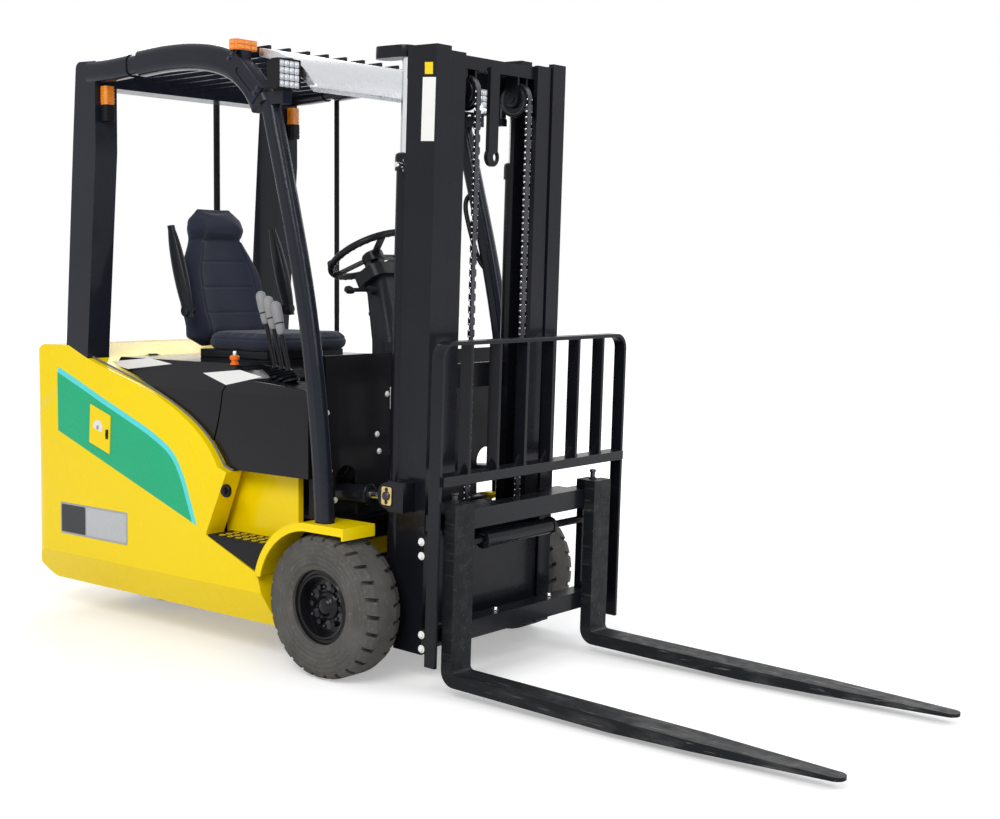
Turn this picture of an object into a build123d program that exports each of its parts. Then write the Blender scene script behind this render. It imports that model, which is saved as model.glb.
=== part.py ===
from build123d import *
import math
import os

os.makedirs("parts", exist_ok=True)

# Three-wheel electric counterbalance forklift, millimetres.
# X points forward along the forks, Y to the left, Z up from the floor.
# Pieces are drawn with X counted from the front axle. AXLE_X then moves them,
# so that the origin lies under the middle of the whole truck.

# Driving dimensions
AXLE_X = -59.1
HALF_WIDTH = 525.0
SKIN_Y = 510.0
REAR_X = -1566.0
BODY_BOTTOM_Z = 121.0
BODY_TOP_Z = 1000.0
FRONT_TYRE_R = 228.5
FRONT_TYRE_W = 155.0
FRONT_RIM_R = 118.0
REAR_TYRE_R = 192.5
REAR_TYRE_W = 116.0
REAR_RIM_R = 98.0
STEER_X = -1270.0
FLOOR_Z = 480.0
HOOD_Y = 468.0
HOOD_REAR_X = -1140.0
HOOD_FRONT_X = -360.0
HINGE_X = -1150.0
HINGE_Z = 956.0
HINGE_PIN_R = 7.0
SEAM_R = 650.0
CONSOLE_Y = 292.0
SILL_Z = 609.0
GUARD_Y = 475.0
RAIL_Z = 1985.0
PILLAR_Y = 495.0
PIVOT_X = 90.0
PIVOT_Z = 170.0
PIVOT_R = 14.0

# Mast, drawn upright and then leaned forward about the line x = 0, z = MAST_REF_Z
MAST_TILT = 1.8
MAST_REF_Z = 150.0
MAST_TOP_Z = 1967.0
MAST_BOTTOM_Z = 95.0
RAIL_FRONT_X = 260.0
OUTER_RAIL_Y = 326.0
OUTER_RAIL_W = 68.0
OUTER_RAIL_D = 118.0
INNER_RAIL_Y = 252.0
INNER_RAIL_W = 70.0
INNER_RAIL_D = 106.0
INNER_TOP_Z = 1955.0
CYLINDER_X = 95.0
CYLINDER_Y = 272.0
CYLINDER_R = 29.0
ROD_R = 19.0
SHEAVE_X = 208.0
SHEAVE_Y = 130.0
SHEAVE_Z = 1840.0
SHEAVE_R = 48.0
FORK_FACE_X = 447.0
FORK_LENGTH = 1240.0
FORK_WIDTH = 92.0
FORK_THICK = 40.0
FORK_TOP_Z = 88.0
FORK_SHANK_TOP_Z = 596.0
FORK_OUTER_Y = 402.0
SHIFT_Y = 36.0
BACKREST_HALF = 478.0
BACKREST_TOP_Z = 1080.0

# Tilt cylinders, from the pin on the frame to the pin on the mast
TILT_Y = 352.0
TILT_REAR = (-150.0, 560.0)
TILT_EYE = (150.0, 577.0)


def save(solid, label):
    solid.label = label
    export_step(solid, f"parts/{label}.step")


def on_truck(solid):
    return Pos(AXLE_X, 0, 0) * solid


def on_mast(solid):
    lean = Pos(0, 0, MAST_REF_Z) * Rot(0, MAST_TILT, 0) * Pos(0, 0, -MAST_REF_Z)
    return Pos(AXLE_X, 0, 0) * lean * solid


def upper_skin(side):
    """Plane of the side skin above the long crease, leaning inward toward the top."""
    lean = math.radians(2.5)
    run, drop = 0.956, 0.2934
    return Plane(
        origin=(-1425, side * SKIN_Y, 666),
        x_dir=(run, 0, -drop),
        z_dir=(drop * math.sin(lean), side * math.cos(lean), run * math.sin(lean)),
    )


def lower_skin(side):
    """Plane of the bevel under the side skin, from z 232 down to the floor edge."""
    return Plane(origin=(0, side * SKIN_Y, 232), x_dir=(1, 0, 0), z_dir=(0, side * 0.918, -0.397))


def shoulder(side):
    """Plane that bevels the long top edges of the hood and the console."""
    return Plane(origin=(0, side * HOOD_Y, 872), x_dir=(1, 0, 0), z_dir=(0, side * 0.81, 0.586))


# Yellow body: counterweight, side skins and the well of the steered wheels
with BuildPart() as body_shell:
    with BuildSketch(Plane.XZ):
        with BuildLine():
            rim = Spline((-1215, 956), (-880, 863), (-659, 770), (-555, 696), (-495, 624))
            Polyline(
                rim @ 1, (-450, SILL_Z), (-545, 392), (-290, 294), (-238, BODY_BOTTOM_Z),
                (-1460, BODY_BOTTOM_Z),
            )
            ThreePointArc((-1460, BODY_BOTTOM_Z), (-1538, 178), (REAR_X, 270))
            Line((REAR_X, 270), (-1527, 950))
            ThreePointArc((-1527, 950), (-1512, 985), (-1477, BODY_TOP_Z))
            Polyline((-1477, BODY_TOP_Z), (-1330, BODY_TOP_Z), rim @ 0)
        make_face()
    extrude(amount=SKIN_Y, both=True)
    # rear corners rounded in plan
    with BuildSketch(Plane.XY.offset(BODY_BOTTOM_Z)):
        with Locations((REAR_X + 700, 0)):
            RectangleRounded(1400, 2 * SKIN_Y, 100)
        with Locations((-500, 0)):
            Rectangle(700, 2 * SKIN_Y)
    extrude(amount=BODY_TOP_Z, mode=Mode.INTERSECT)
    # long crease and lower bevel along each side
    for side in (-1, 1):
        split(bisect_by=upper_skin(side), keep=Keep.BOTTOM)
        split(bisect_by=lower_skin(side), keep=Keep.BOTTOM)
    # battery room, open to the top and the front
    with Locations((-660, 0, 690)):
        Box(900, 860, 800, mode=Mode.SUBTRACT)
    with Locations((-330, 0, 300)):
        Box(300, 860, 400, mode=Mode.SUBTRACT)
    # steered wheel well, open below
    with Locations((STEER_X, 0, 265)):
        Cylinder(253, 330, mode=Mode.SUBTRACT)
    # tow pocket in the rear face, its pin hole open at the top of the counterweight
    with Locations((REAR_X, 0, 560)):
        Box(290, 150, 80, mode=Mode.SUBTRACT)
    with Locations((-1455, 0, 740)):
        Cylinder(12.5, 540, mode=Mode.SUBTRACT)
    # hood hinges: two posts and a pin each
    for y in (-250, 250):
        for across in (-25, 25):
            with Locations((HINGE_X, y + across, 943)):
                Box(16, 8, 42)
        with Locations(Location((HINGE_X, y, HINGE_Z), (90, 0, 0))):
            Cylinder(HINGE_PIN_R, 56)
save(on_truck(body_shell.part), "body_shell")

# Inner side panels behind the steps, the left one lower to leave the way in
with BuildPart() as side_panels:
    for side, top in ((-1, SILL_Z), (1, 500.0)):
        plane = Plane.XZ.offset(380 if side < 0 else -402)
        with BuildSketch(plane):
            with BuildLine():
                Polyline(
                    (-298, 300), (-228, 424), (-209, 436), (-209, top), (-560, top), (-560, 300),
                    close=True,
                )
            make_face()
        extrude(amount=22)
save(on_truck(side_panels.part), "side_panels")

# Front fenders over the drive wheels, each with a turned-down outer lip
with BuildPart() as front_fenders:
    for depth, far in ((8, 142), (26, 6)):
        with BuildSketch(Plane.XZ.offset(522 - far)):
            with BuildLine():
                top = ThreePointArc((-290, 292), (-212, 425), (-62, 488))
                Polyline(top @ 1, (112, 488), (112, 450), (104, 450), (104, 488 - depth), (-60, 488 - depth))
                inner = ThreePointArc(
                    (-60, 488 - depth), (-212 + depth * 0.75, 425 - depth * 0.66), (-290 + depth, 290),
                )
                Line(inner @ 1, top @ 0)
            make_face()
        extrude(amount=far)
    mirror(about=Plane.XZ)
    add(body_shell.part, mode=Mode.SUBTRACT)
save(on_truck(front_fenders.part), "front_fenders")

# Steps: a tread plate with rows of punched holes and a three-sided cheek
with BuildPart() as steps:
    with Locations((-388, -455, 392)):
        Box(296, 105, 6)
    with Locations((-388, -455, 392)):
        with GridLocations(40, 30, 6, 3):
            Cylinder(9, 10, mode=Mode.SUBTRACT)
    with BuildSketch(Plane.XZ.offset(502)):
        with BuildLine():
            Polyline((-534, 389), (-241, 389), (-292, 300), close=True)
        make_face()
    extrude(amount=6)
    mirror(about=Plane.XZ)
    add(front_fenders.part, mode=Mode.SUBTRACT)
save(on_truck(steps.part), "steps")

# Front frame: chassis beams, floor, bulkhead with its two arches, kick panel
with BuildPart() as front_frame:
    for side in (-1, 1):
        with Locations((-175, side * 346, 300)):
            Box(330, 12, 340)
        with Locations((30, side * 346, 200)):
            Box(200, 12, 130)
        with Locations(Location((0, side * 346, FRONT_TYRE_R), (90, 0, 0))):
            Cylinder(55, 20, mode=Mode.SUBTRACT)
        # pivot pin of the mast foot
        with Locations(Location((PIVOT_X, side * 305, PIVOT_Z), (90, 0, 0))):
            Cylinder(PIVOT_R, 94)
        for y in (-22, 22):
            with Locations((TILT_REAR[0], side * TILT_Y + y, 540)):
                Box(70, 8, 120)
        with Locations(Location((TILT_REAR[0], side * TILT_Y, TILT_REAR[1]), (90, 0, 0))):
            Cylinder(10, 52)
    with Locations((-197, 0, FLOOR_Z - 5)):
        Box(290, 756, 10)
    with BuildSketch(Plane.YZ.offset(-52)):
        with Locations((0, 748.5)):
            Rectangle(888, 519)
        with Locations((-TILT_Y, 540), (TILT_Y, 540)):
            Rectangle(100, 130, mode=Mode.SUBTRACT)
        with Locations((-TILT_Y, 605), (TILT_Y, 605)):
            Circle(50, mode=Mode.SUBTRACT)
    extrude(amount=12)
    with Locations((-337, (378 - CONSOLE_Y + 6) / 2, 687)):
        Box(10, 378 + CONSOLE_Y - 6, 415)
    with Locations((-310, 0, 220)):
        Box(40, 680, 100)
save(on_truck(front_frame.part), "front_frame")

# Drive unit: axle tube with a gear case and a motor at each side
with BuildPart() as drive_unit:
    with Locations(Location((0, 0, FRONT_TYRE_R), (90, 0, 0))):
        Cylinder(55, 700)
        Cylinder(32, 892)
    for side in (-1, 1):
        with Locations(Location((0, side * 314, FRONT_TYRE_R), (90, 0, 0))):
            Cylinder(86, 50)
        with Locations(Location((-150, side * 200, FRONT_TYRE_R), (90, 0, 0))):
            Cylinder(85, 250)
save(on_truck(drive_unit.part), "drive_unit")

# Overhead guard: rear pillars, side rails in three lengths, front pillars and rear beam
with BuildPart() as guard_frame:
    with BuildSketch(Plane.XZ.offset(PILLAR_Y - 95)):
        with BuildLine():
            Polyline(
                (-1270, 1999), (-1290, 1740), (-1343, BODY_TOP_Z), (-1330, BODY_TOP_Z), (-1215, 956),
                (-1155, 1700), (-1155, 2020), (-1245, 2024),
            )
            ThreePointArc((-1245, 2024), (-1262, 2017), (-1270, 1999))
        make_face()
    extrude(amount=95)
    with BuildLine() as rail_path:
        Spline((-1200, RAIL_Z), (-900, 1990), (-600, 1985), (-400, 1925), (-285, 1800))
    rail_line = (Pos(0, -GUARD_Y, 0) * Rot(90, 0, 0) * rail_path.line).edges()[0]
    for begin, end, wide, high in ((0.0, 0.24, 60, 78), (0.23, 0.31, 52, 68), (0.30, 1.0, 68, 90)):
        length = rail_line.trim(begin, end)
        with BuildSketch(Plane(length @ 0, x_dir=(0, 1, 0), z_dir=length % 0)):
            RectangleRounded(wide, high, 0.4 * wide)
        sweep(path=length)
    with BuildLine() as pillar_path:
        Spline((-262, 1825), (-190, 1560), (-98, 1183), (-45, 850), (-12, 470))
    pillar_line = Pos(0, -GUARD_Y, 0) * Rot(90, 0, 0) * pillar_path.line
    with BuildSketch(Plane(pillar_line @ 0, x_dir=(0, 1, 0), z_dir=pillar_line % 0)):
        RectangleRounded(50, 62, 20)
    sweep(path=pillar_line)
    with Locations((0, -GUARD_Y, 438)):
        Box(200, 100, 100, mode=Mode.SUBTRACT)
    # slotted bracket plate where the rail meets the pillar
    with BuildSketch(Plane.XZ.offset(504)):
        with Locations(Location((-352, 1897, 0), (0, 0, -44))):
            Rectangle(196, 66)
        with Locations(Location((-340, 1886, 0), (0, 0, -44))):
            SlotOverall(110, 22, mode=Mode.SUBTRACT)
    extrude(amount=8)
    # seats of the work lamp and of the strobe
    with Locations((-219, -478, 1819.5)):
        Box(86, 40, 39)
    with Locations((-400, -GUARD_Y, 1950)):
        Box(60, 40, 70)
    mirror(about=Plane.XZ)
    with Locations((-1225, 0, 1972)):
        Box(110, 2 * PILLAR_Y - 160, 80)
save(on_truck(guard_frame.part), "guard_frame")

# Rounded beam across the front of the roof
with BuildPart() as guard_beam:
    with BuildSketch(Plane.XZ.offset(-444)):
        with BuildLine():
            l1 = Spline((-345, 1992), (-255, 1972), (-150, 1905), (-105, 1850))
            Polyline(l1 @ 1, (-120, 1838), (-165, 1880), (-265, 1945), (-345, 1968), l1 @ 0)
        make_face()
    extrude(amount=888)
    for side in (-1, 1):
        with Locations((-170, side * 440, 1880)):
            Box(120, 40, 140, mode=Mode.SUBTRACT)
save(on_truck(guard_beam.part), "guard_beam")

# Roof slats between the side rails
with BuildPart() as roof_slats:
    with Locations((-757, 0, 1990)):
        with GridLocations(1, 88, 1, 10):
            Box(824, 12, 36)
    with Locations((-760, 0, 1990)):
        Box(30, 890, 20)
    add(guard_frame.part, mode=Mode.SUBTRACT)
save(on_truck(roof_slats.part), "roof_slats")

# Slim posts: one behind the roof, one under the left rail, both cut to what they stand on
with BuildPart() as guard_posts:
    with Locations((-1414, 290, 1497)):
        Cylinder(13, 994)
    with Locations((-1347, 290, 1985)):
        Box(134, 30, 12)
    with Locations((-917, 484, 1400)):
        Cylinder(10, 1130)
    add(body_shell.part, mode=Mode.SUBTRACT)
    add(guard_frame.part, mode=Mode.SUBTRACT)
save(on_truck(guard_posts.part), "guard_posts")

# Work lamps: square housings with cooling fins behind, on a swivel foot
with BuildPart() as work_lamps:
    with Locations((-186, -478, 1891)):
        Box(30, 96, 96)
    with Locations((-212, -478, 1891)):
        with GridLocations(1, 16, 1, 6):
            Box(24, 6, 84)
    with Locations((-190, -478, 1841)):
        Box(24, 50, 4)
    mirror(about=Plane.XZ)
save(on_truck(work_lamps.part), "work_lamps")

# Amber lamps: a flat strobe on the roof corner, one lamp on each rear pillar
with BuildPart() as amber_lamps:
    with BuildSketch(Plane.XY.offset(1985)):
        with Locations((-392, -470)):
            RectangleRounded(38, 96, 12)
    extrude(amount=34)
    for side in (-1, 1):
        with BuildSketch(Plane.XY.offset(1810)):
            with Locations((-1137, side * 455)):
                RectangleRounded(36, 40, 8)
        extrude(amount=122)
    add(guard_frame.part, mode=Mode.SUBTRACT)
save(on_truck(amber_lamps.part), "amber_lamps")

# Steering column: shroud, instrument housing, direction lever and key
WHEEL_PLANE = Plane(origin=(-263, 0, 1331), x_dir=(0.866, 0, 0.5), z_dir=(-0.5, 0, 0.866))
with BuildPart() as column_cover:
    with BuildSketch(Plane.XY.offset(FLOOR_Z)):
        with Locations((-110, 0)):
            RectangleRounded(110, 240, 30)
    with BuildSketch(Plane.XY.offset(1040)):
        with Locations((-120, 0)):
            RectangleRounded(110, 220, 30)
    loft()
    with BuildSketch(Plane.XY.offset(1040)):
        with Locations((-120, 0)):
            RectangleRounded(110, 220, 30)
    with BuildSketch(WHEEL_PLANE.offset(-104)):
        RectangleRounded(90, 110, 25)
    loft()
    with BuildSketch(WHEEL_PLANE.offset(-106)):
        RectangleRounded(124, 170, 40)
    extrude(amount=44)
    with Locations(Location((-205, -95, 1212), (90, 0, -24))):
        Cylinder(7, 150)
    with Locations(Location((-190, -62, 1212), (90, 0, -24))):
        Cone(22, 14, 60)
    with Locations(Location((-196, -40, 1130), (0, 90, 0))):
        Cylinder(11, 70)
save(on_truck(column_cover.part), "column_cover")

# Steering wheel on its leaned column, with a spinner knob
with BuildPart() as steering_wheel:
    with BuildSketch(Plane(origin=WHEEL_PLANE.origin, x_dir=WHEEL_PLANE.x_dir, z_dir=(0, -1, 0))):
        with Locations((150, 0)):
            Circle(12)
    revolve(axis=Axis(WHEEL_PLANE.origin, WHEEL_PLANE.z_dir))
    with BuildSketch(WHEEL_PLANE.offset(-30)):
        Circle(38)
    extrude(amount=30)
    with BuildSketch(WHEEL_PLANE.offset(-14)):
        for angle in (90, 210, 330):
            with Locations((75 * math.cos(math.radians(angle)), 75 * math.sin(math.radians(angle)))):
                Rectangle(150, 22, rotation=angle)
    extrude(amount=10)
    with BuildSketch(WHEEL_PLANE.offset(-61.7)):
        Circle(14)
    extrude(amount=40)
    with BuildSketch(WHEEL_PLANE):
        with Locations((-142, -48)):
            Circle(9)
    extrude(amount=34)
    with BuildSketch(WHEEL_PLANE.offset(30)):
        with Locations((-142, -48)):
            Circle(21)
    extrude(amount=26, taper=14)
save(on_truck(steering_wheel.part), "steering_wheel")

# Side console ahead of the hood, their seam an arc about the hood's hinge
with BuildPart() as lever_console:
    with BuildSketch(Plane.XZ.offset(CONSOLE_Y)):
        with BuildLine():
            edge = Spline((-655, 777), (-550, 702), (-490, 630))
            Polyline(
                edge @ 1, (-452, SILL_Z + 6), (-95, SILL_Z + 6), (-95, 895), (-420, 915),
                (-505, 945), (-655, 945), edge @ 0,
            )
        make_face()
        with Locations((HINGE_X, HINGE_Z)):
            Circle(SEAM_R + 3, mode=Mode.SUBTRACT)
    extrude(amount=HOOD_Y - CONSOLE_Y)
    split(bisect_by=shoulder(-1), keep=Keep.BOTTOM)
    with Locations((-300, -372, 750)):
        Box(380, 130, 250, mode=Mode.SUBTRACT)
    # room for the shoulder of the battery
    with Locations((-560, -338, 745)):
        Box(190, 94, 272, mode=Mode.SUBTRACT)
save(on_truck(lever_console.part), "lever_console")

# Three levers leaning back, each with a ribbed boot and a shaped grip
with BuildPart() as control_levers:
    for i in range(3):
        foot = Plane(
            origin=(-385 + 44 * i, -330 - 10 * i, 912.8 - 2.7 * i),
            x_dir=(0.96, 0, 0.28),
            z_dir=(-0.28, 0, 0.96),
        )
        with BuildSketch(Plane(origin=foot.origin, x_dir=foot.x_dir, z_dir=(0, -1, 0))):
            with BuildLine():
                Polyline(
                    (0, 2), (30, 2), (30, 8), (20, 12), (27, 18), (18, 22), (24, 28), (15, 32), (20, 38),
                    (11, 42), (7, 50), (7, 190 - 14 * i), (13, 196 - 14 * i), (16, 240 - 14 * i),
                    (17, 285 - 14 * i), (10, 300 - 14 * i), (0, 303 - 14 * i), close=True,
                )
            make_face()
        revolve(axis=Axis(foot.origin, foot.z_dir))
    split(bisect_by=Plane(origin=(-420, 0, 915.2), x_dir=(325, 0, -20), z_dir=(0.0614, 0, 0.998)), keep=Keep.TOP)
save(on_truck(control_levers.part), "control_levers")

# Battery, one plain block in its room
with BuildPart() as battery:
    with Locations((-739, 0, 581)):
        Box(522, 750, 580)
save(on_truck(battery.part), "battery")

# Hood with skirts down to the body rim, hollow below, on two hinges at its rear edge
with BuildPart() as hood:
    with BuildSketch(Plane.XZ.offset(-HOOD_Y)):
        with BuildLine():
            skirt = Spline((-878, 870), (-655, 777), (-550, 702), (-490, 630))
            Polyline(
                skirt @ 1, (-452, SILL_Z + 6), (HOOD_FRONT_X, SILL_Z + 6), (HOOD_FRONT_X, 915),
                (-385, 940), (-560, 962), (HOOD_REAR_X, 962), (HOOD_REAR_X, 946), skirt @ 0,
            )
        make_face()
    extrude(amount=2 * HOOD_Y)
    for side in (-1, 1):
        split(bisect_by=shoulder(side), keep=Keep.BOTTOM)
    with BuildSketch(Plane.XZ.offset(-400)):
        with BuildLine():
            Polyline((-1110, 938), (-600, 918), (-340, 898), (-340, 500), (-1110, 500), close=True)
        make_face()
    extrude(amount=800, mode=Mode.SUBTRACT)
    with BuildSketch(Plane.XZ.offset(CONSOLE_Y - 6)):
        with Locations((HINGE_X + 700, HINGE_Z - 100)):
            Rectangle(1000, 900)
        with Locations((HINGE_X, HINGE_Z)):
            Circle(SEAM_R - 3, mode=Mode.SUBTRACT)
    extrude(amount=300, mode=Mode.SUBTRACT)
    for y in (-250, 250):
        with Locations((HINGE_X, y, HINGE_Z)):
            Box(40, 72, 60, mode=Mode.SUBTRACT)
        with Locations(Location((HINGE_X, y, HINGE_Z), (90, 0, 0))):
            Cylinder(12, 36)
        with Locations((-1132, y, 956)):
            Box(24, 36, 12)
        with Locations(Location((HINGE_X, y, HINGE_Z), (90, 0, 0))):
            Cylinder(HINGE_PIN_R + 0.05, 60, mode=Mode.SUBTRACT)
save(on_truck(hood.part), "hood")

# Seat: base, cushion, backrest with headrest, folded armrests
with BuildPart() as seat_base:
    with Locations((-770, 0, 976.5)):
        Box(360, 380, 29)
save(on_truck(seat_base.part), "seat_base")

with BuildPart() as seat_cushion:
    with BuildSketch(Plane.XY.offset(991)):
        with Locations((-735, 0)):
            RectangleRounded(430, 450, 60)
    extrude(amount=60)
    fillet(seat_cushion.faces().sort_by(Axis.Z)[-1].edges(), 20)
save(on_truck(seat_cushion.part), "seat_cushion")

with BuildPart() as seat_back:
    with BuildSketch(Plane.XZ.offset(-235)):
        with BuildLine():
            Polyline(
                (-955, 985), (-1045, 985), (-1130, 1390), (-1116, 1523), (-1066, 1523), (-1040, 1440),
                (-1052, 1395), (-1000, 1200), (-953, 1060), close=True,
            )
        make_face()
    extrude(amount=470)
    with BuildSketch(Plane.YZ.offset(-1200)):
        with BuildLine():
            FilletPolyline(
                (212, 980), (226, 1150), (212, 1270), (140, 1390), (148, 1440), (120, 1523),
                (-120, 1523), (-148, 1440), (-140, 1390), (-212, 1270), (-226, 1150), (-212, 980),
                radius=22, close=True,
            )
        make_face()
    extrude(amount=400, mode=Mode.INTERSECT)
save(on_truck(seat_back.part), "seat_back")

with BuildPart() as armrests:
    with BuildSketch(Plane.XZ.offset(-268)):
        with BuildLine():
            Polyline((-900, 1110), (-970, 1100), (-1070, 1430), (-1010, 1445), close=True)
        make_face()
    extrude(amount=36)
    with Locations((-960, 229, 1130)):
        Box(30, 8, 30)
    mirror(about=Plane.XZ)
save(on_truck(armrests.part), "armrests")

# Small latch door in the right side skin
with BuildPart() as charge_door:
    with BuildSketch(Plane.XZ.offset(480)):
        with BuildLine():
            Polyline((-1186, 655), (-1068, 620), (-1068, 757), (-1186, 793), close=True)
        make_face()
    extrude(amount=40)
    split(bisect_by=upper_skin(-1).offset(0.6), keep=Keep.TOP)
    split(bisect_by=upper_skin(-1).offset(5), keep=Keep.BOTTOM)
save(on_truck(charge_door.part), "charge_door")


# Wheels: a tyre of revolution with lug grooves on both shoulders, and a dished rim
def groove_places(radius, width, count):
    return [
        Location((0, 0, 0), (0, 360 * (i + 0.5 * (side > 0)) / count, 0))
        * Location((radius - 3, side * width * 0.37, 0), (side * 14, 0, 0))
        for i in range(count)
        for side in (-1, 1)
    ]


def make_tyre(radius, width, rim_r, count):
    hw = width / 2
    wall = radius - rim_r
    half = [
        (rim_r, -hw + 10), (rim_r + 0.2 * wall, -hw + 2), (rim_r + 0.55 * wall, -hw),
        (radius - 24, -hw + 4), (radius - 9, -hw + 10), (radius - 1, -hw * 0.55),
    ]
    with BuildPart() as tyre:
        with BuildSketch(Plane.XY):
            with BuildLine():
                Polyline(*half, *[(r, -y) for r, y in reversed(half)], close=True)
            make_face()
        revolve(axis=Axis.Y)
        with Locations(groove_places(radius, width, count)):
            Box(30, width * 0.36, radius * 0.055, mode=Mode.SUBTRACT)
    return tyre.part


def make_rim(rim_r, width, bolts):
    hw = width / 2
    with BuildPart() as rim:
        with BuildSketch(Plane.XY):
            with BuildLine():
                Polyline(
                    (0, -hw * 0.55), (34, -hw * 0.55), (40, -hw * 0.35), (rim_r * 0.72, -hw * 0.35),
                    (rim_r * 0.8, -hw * 0.9), (rim_r, -hw * 0.86), (rim_r, hw * 0.86),
                    (rim_r * 0.85, hw * 0.86), (rim_r * 0.8, 0), (0, 0), close=True,
                )
            make_face()
        revolve(axis=Axis.Y)
        with BuildSketch(Plane.XZ.offset(hw * 0.35)):
            with PolarLocations(62, bolts):
                RegularPolygon(9, 6)
        extrude(amount=14)
    return rim.part


front_tyre = make_tyre(FRONT_TYRE_R, FRONT_TYRE_W, FRONT_RIM_R, 26)
front_rim = make_rim(FRONT_RIM_R, 130, 6)
front_y = HALF_WIDTH - FRONT_TYRE_W / 2
for side, name in ((-1, "right"), (1, "left")):
    place = Pos(0, side * front_y, FRONT_TYRE_R) * Rot(0, 0, 0 if side < 0 else 180)
    save(on_truck(place * front_tyre), f"front_tyre_{name}")
    save(on_truck(place * front_rim), f"front_rim_{name}")

rear_tyre = make_tyre(REAR_TYRE_R, REAR_TYRE_W, REAR_RIM_R, 22)
rear_rim = make_rim(REAR_RIM_R, 96, 5)
rear_y = 34 + REAR_TYRE_W / 2
pair = []
rims = []
for side in (-1, 1):
    place = Pos(STEER_X, side * rear_y, REAR_TYRE_R) * Rot(0, 0, 0 if side < 0 else 180)
    pair.append(on_truck(place * rear_tyre))
    rims.append(on_truck(place * rear_rim))
with BuildPart() as rear_axle:
    with Locations(Location((STEER_X, 0, REAR_TYRE_R), (90, 0, 0))):
        Cylinder(22, 2 * rear_y)
save(Compound(children=pair), "rear_tyres")
save(on_truck(rear_axle.part) + rims[0] + rims[1], "rear_rims")

# Steered bogie: turntable under the counterweight with a knuckle between the twin wheels
with BuildPart() as steer_knuckle:
    with Locations((STEER_X, 0, 417.7)):
        Cylinder(110, 24)
    with Locations((STEER_X, 0, 344)):
        Box(120, 46, 138)
    with Locations((STEER_X, 0, 230)):
        Box(90, 40, 130)
    with Locations(Location((STEER_X, 0, REAR_TYRE_R), (90, 0, 0))):
        Cylinder(50, 40)
        Cylinder(22.05, 60, mode=Mode.SUBTRACT)
save(on_truck(steer_knuckle.part), "steer_knuckle")


# Mast rails: channels open toward the middle
def channel(x_front, depth, y_outer, width, web, flange, z0, z1):
    x0 = x_front - depth
    with BuildPart() as rail:
        with BuildSketch(Plane.XY.offset(z0)):
            with Locations((x_front - depth / 2, -y_outer + width / 2)):
                Rectangle(depth, width)
            with Locations((x_front - depth / 2, -y_outer + web + width / 2)):
                Rectangle(depth - 2 * flange, width, mode=Mode.SUBTRACT)
        extrude(amount=z1 - z0)
        mirror(about=Plane.XZ)
    return rail.part


with BuildPart() as outer_mast:
    add(channel(RAIL_FRONT_X, OUTER_RAIL_D, OUTER_RAIL_Y, OUTER_RAIL_W, 16, 20, MAST_BOTTOM_Z, MAST_TOP_Z))
    for z, high in ((1902, 64), (940, 80), (350, 120), (135, 80)):
        with Locations((134, 0, z)):
            Box(16, 620, high)
    for side in (-1, 1):
        # tilt bracket outside the rail, with a pin
        for y in (-22, 22):
            with BuildSketch(Plane.XZ.offset(-side * TILT_Y - y - 5)):
                with Locations((150, 585)):
                    Circle(42)
                with Locations((184, 585)):
                    Rectangle(68, 96)
            extrude(amount=10)
        with Locations((200, side * 350, 585)):
            Box(36, 62, 90)
        with Locations(Location((137, side * TILT_Y, 581), (90, 0, 0))):
            Cylinder(9, 48)
        # pivot eye of the mast foot
        with Locations(Location((89.3, side * 270, 172.8), (90, 0, 0))):
            Cylinder(30, 22)
        with Locations((120, side * 270, 172.8)):
            Box(62, 22, 60)
        with Locations(Location((89.3, side * 270, 172.8), (90, 0, 0))):
            Cylinder(PIVOT_R + 0.05, 30, mode=Mode.SUBTRACT)
        # foot plate and top clamp of the lift cylinder
        with Locations((104, side * CYLINDER_Y, 329)):
            Box(76, 58, 10)
        with Locations((140, side * 300, 1605)):
            Box(20, 44, 50)
        # anchor of the chain end, hung from the top crossmember
        with Locations((135, side * SHEAVE_Y, 1822)):
            Box(14, 30, 130)
        with Locations((150, side * SHEAVE_Y, 1769)):
            Box(24, 26, 24)
save(on_mast(outer_mast.part), "outer_mast")

with BuildPart() as lift_barrels:
    for side in (-1, 1):
        with Locations((CYLINDER_X, side * CYLINDER_Y, 334)):
            Cylinder(CYLINDER_R, 1296, align=(Align.CENTER, Align.CENTER, Align.MIN))
        with Locations((CYLINDER_X, side * CYLINDER_Y, 1590)):
            Cylinder(CYLINDER_R + 5, 44, align=(Align.CENTER, Align.CENTER, Align.MIN))
        with Locations((CYLINDER_X, side * CYLINDER_Y, 334)):
            Cylinder(ROD_R + 0.05, 1400, align=(Align.CENTER, Align.CENTER, Align.MIN), mode=Mode.SUBTRACT)
save(on_mast(lift_barrels.part), "lift_barrels")

with BuildPart() as lift_rods:
    for side in (-1, 1):
        with Locations((CYLINDER_X, side * CYLINDER_Y, 336)):
            Cylinder(ROD_R, 1603, align=(Align.CENTER, Align.CENTER, Align.MIN))
save(on_mast(lift_rods.part), "lift_rods")

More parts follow.
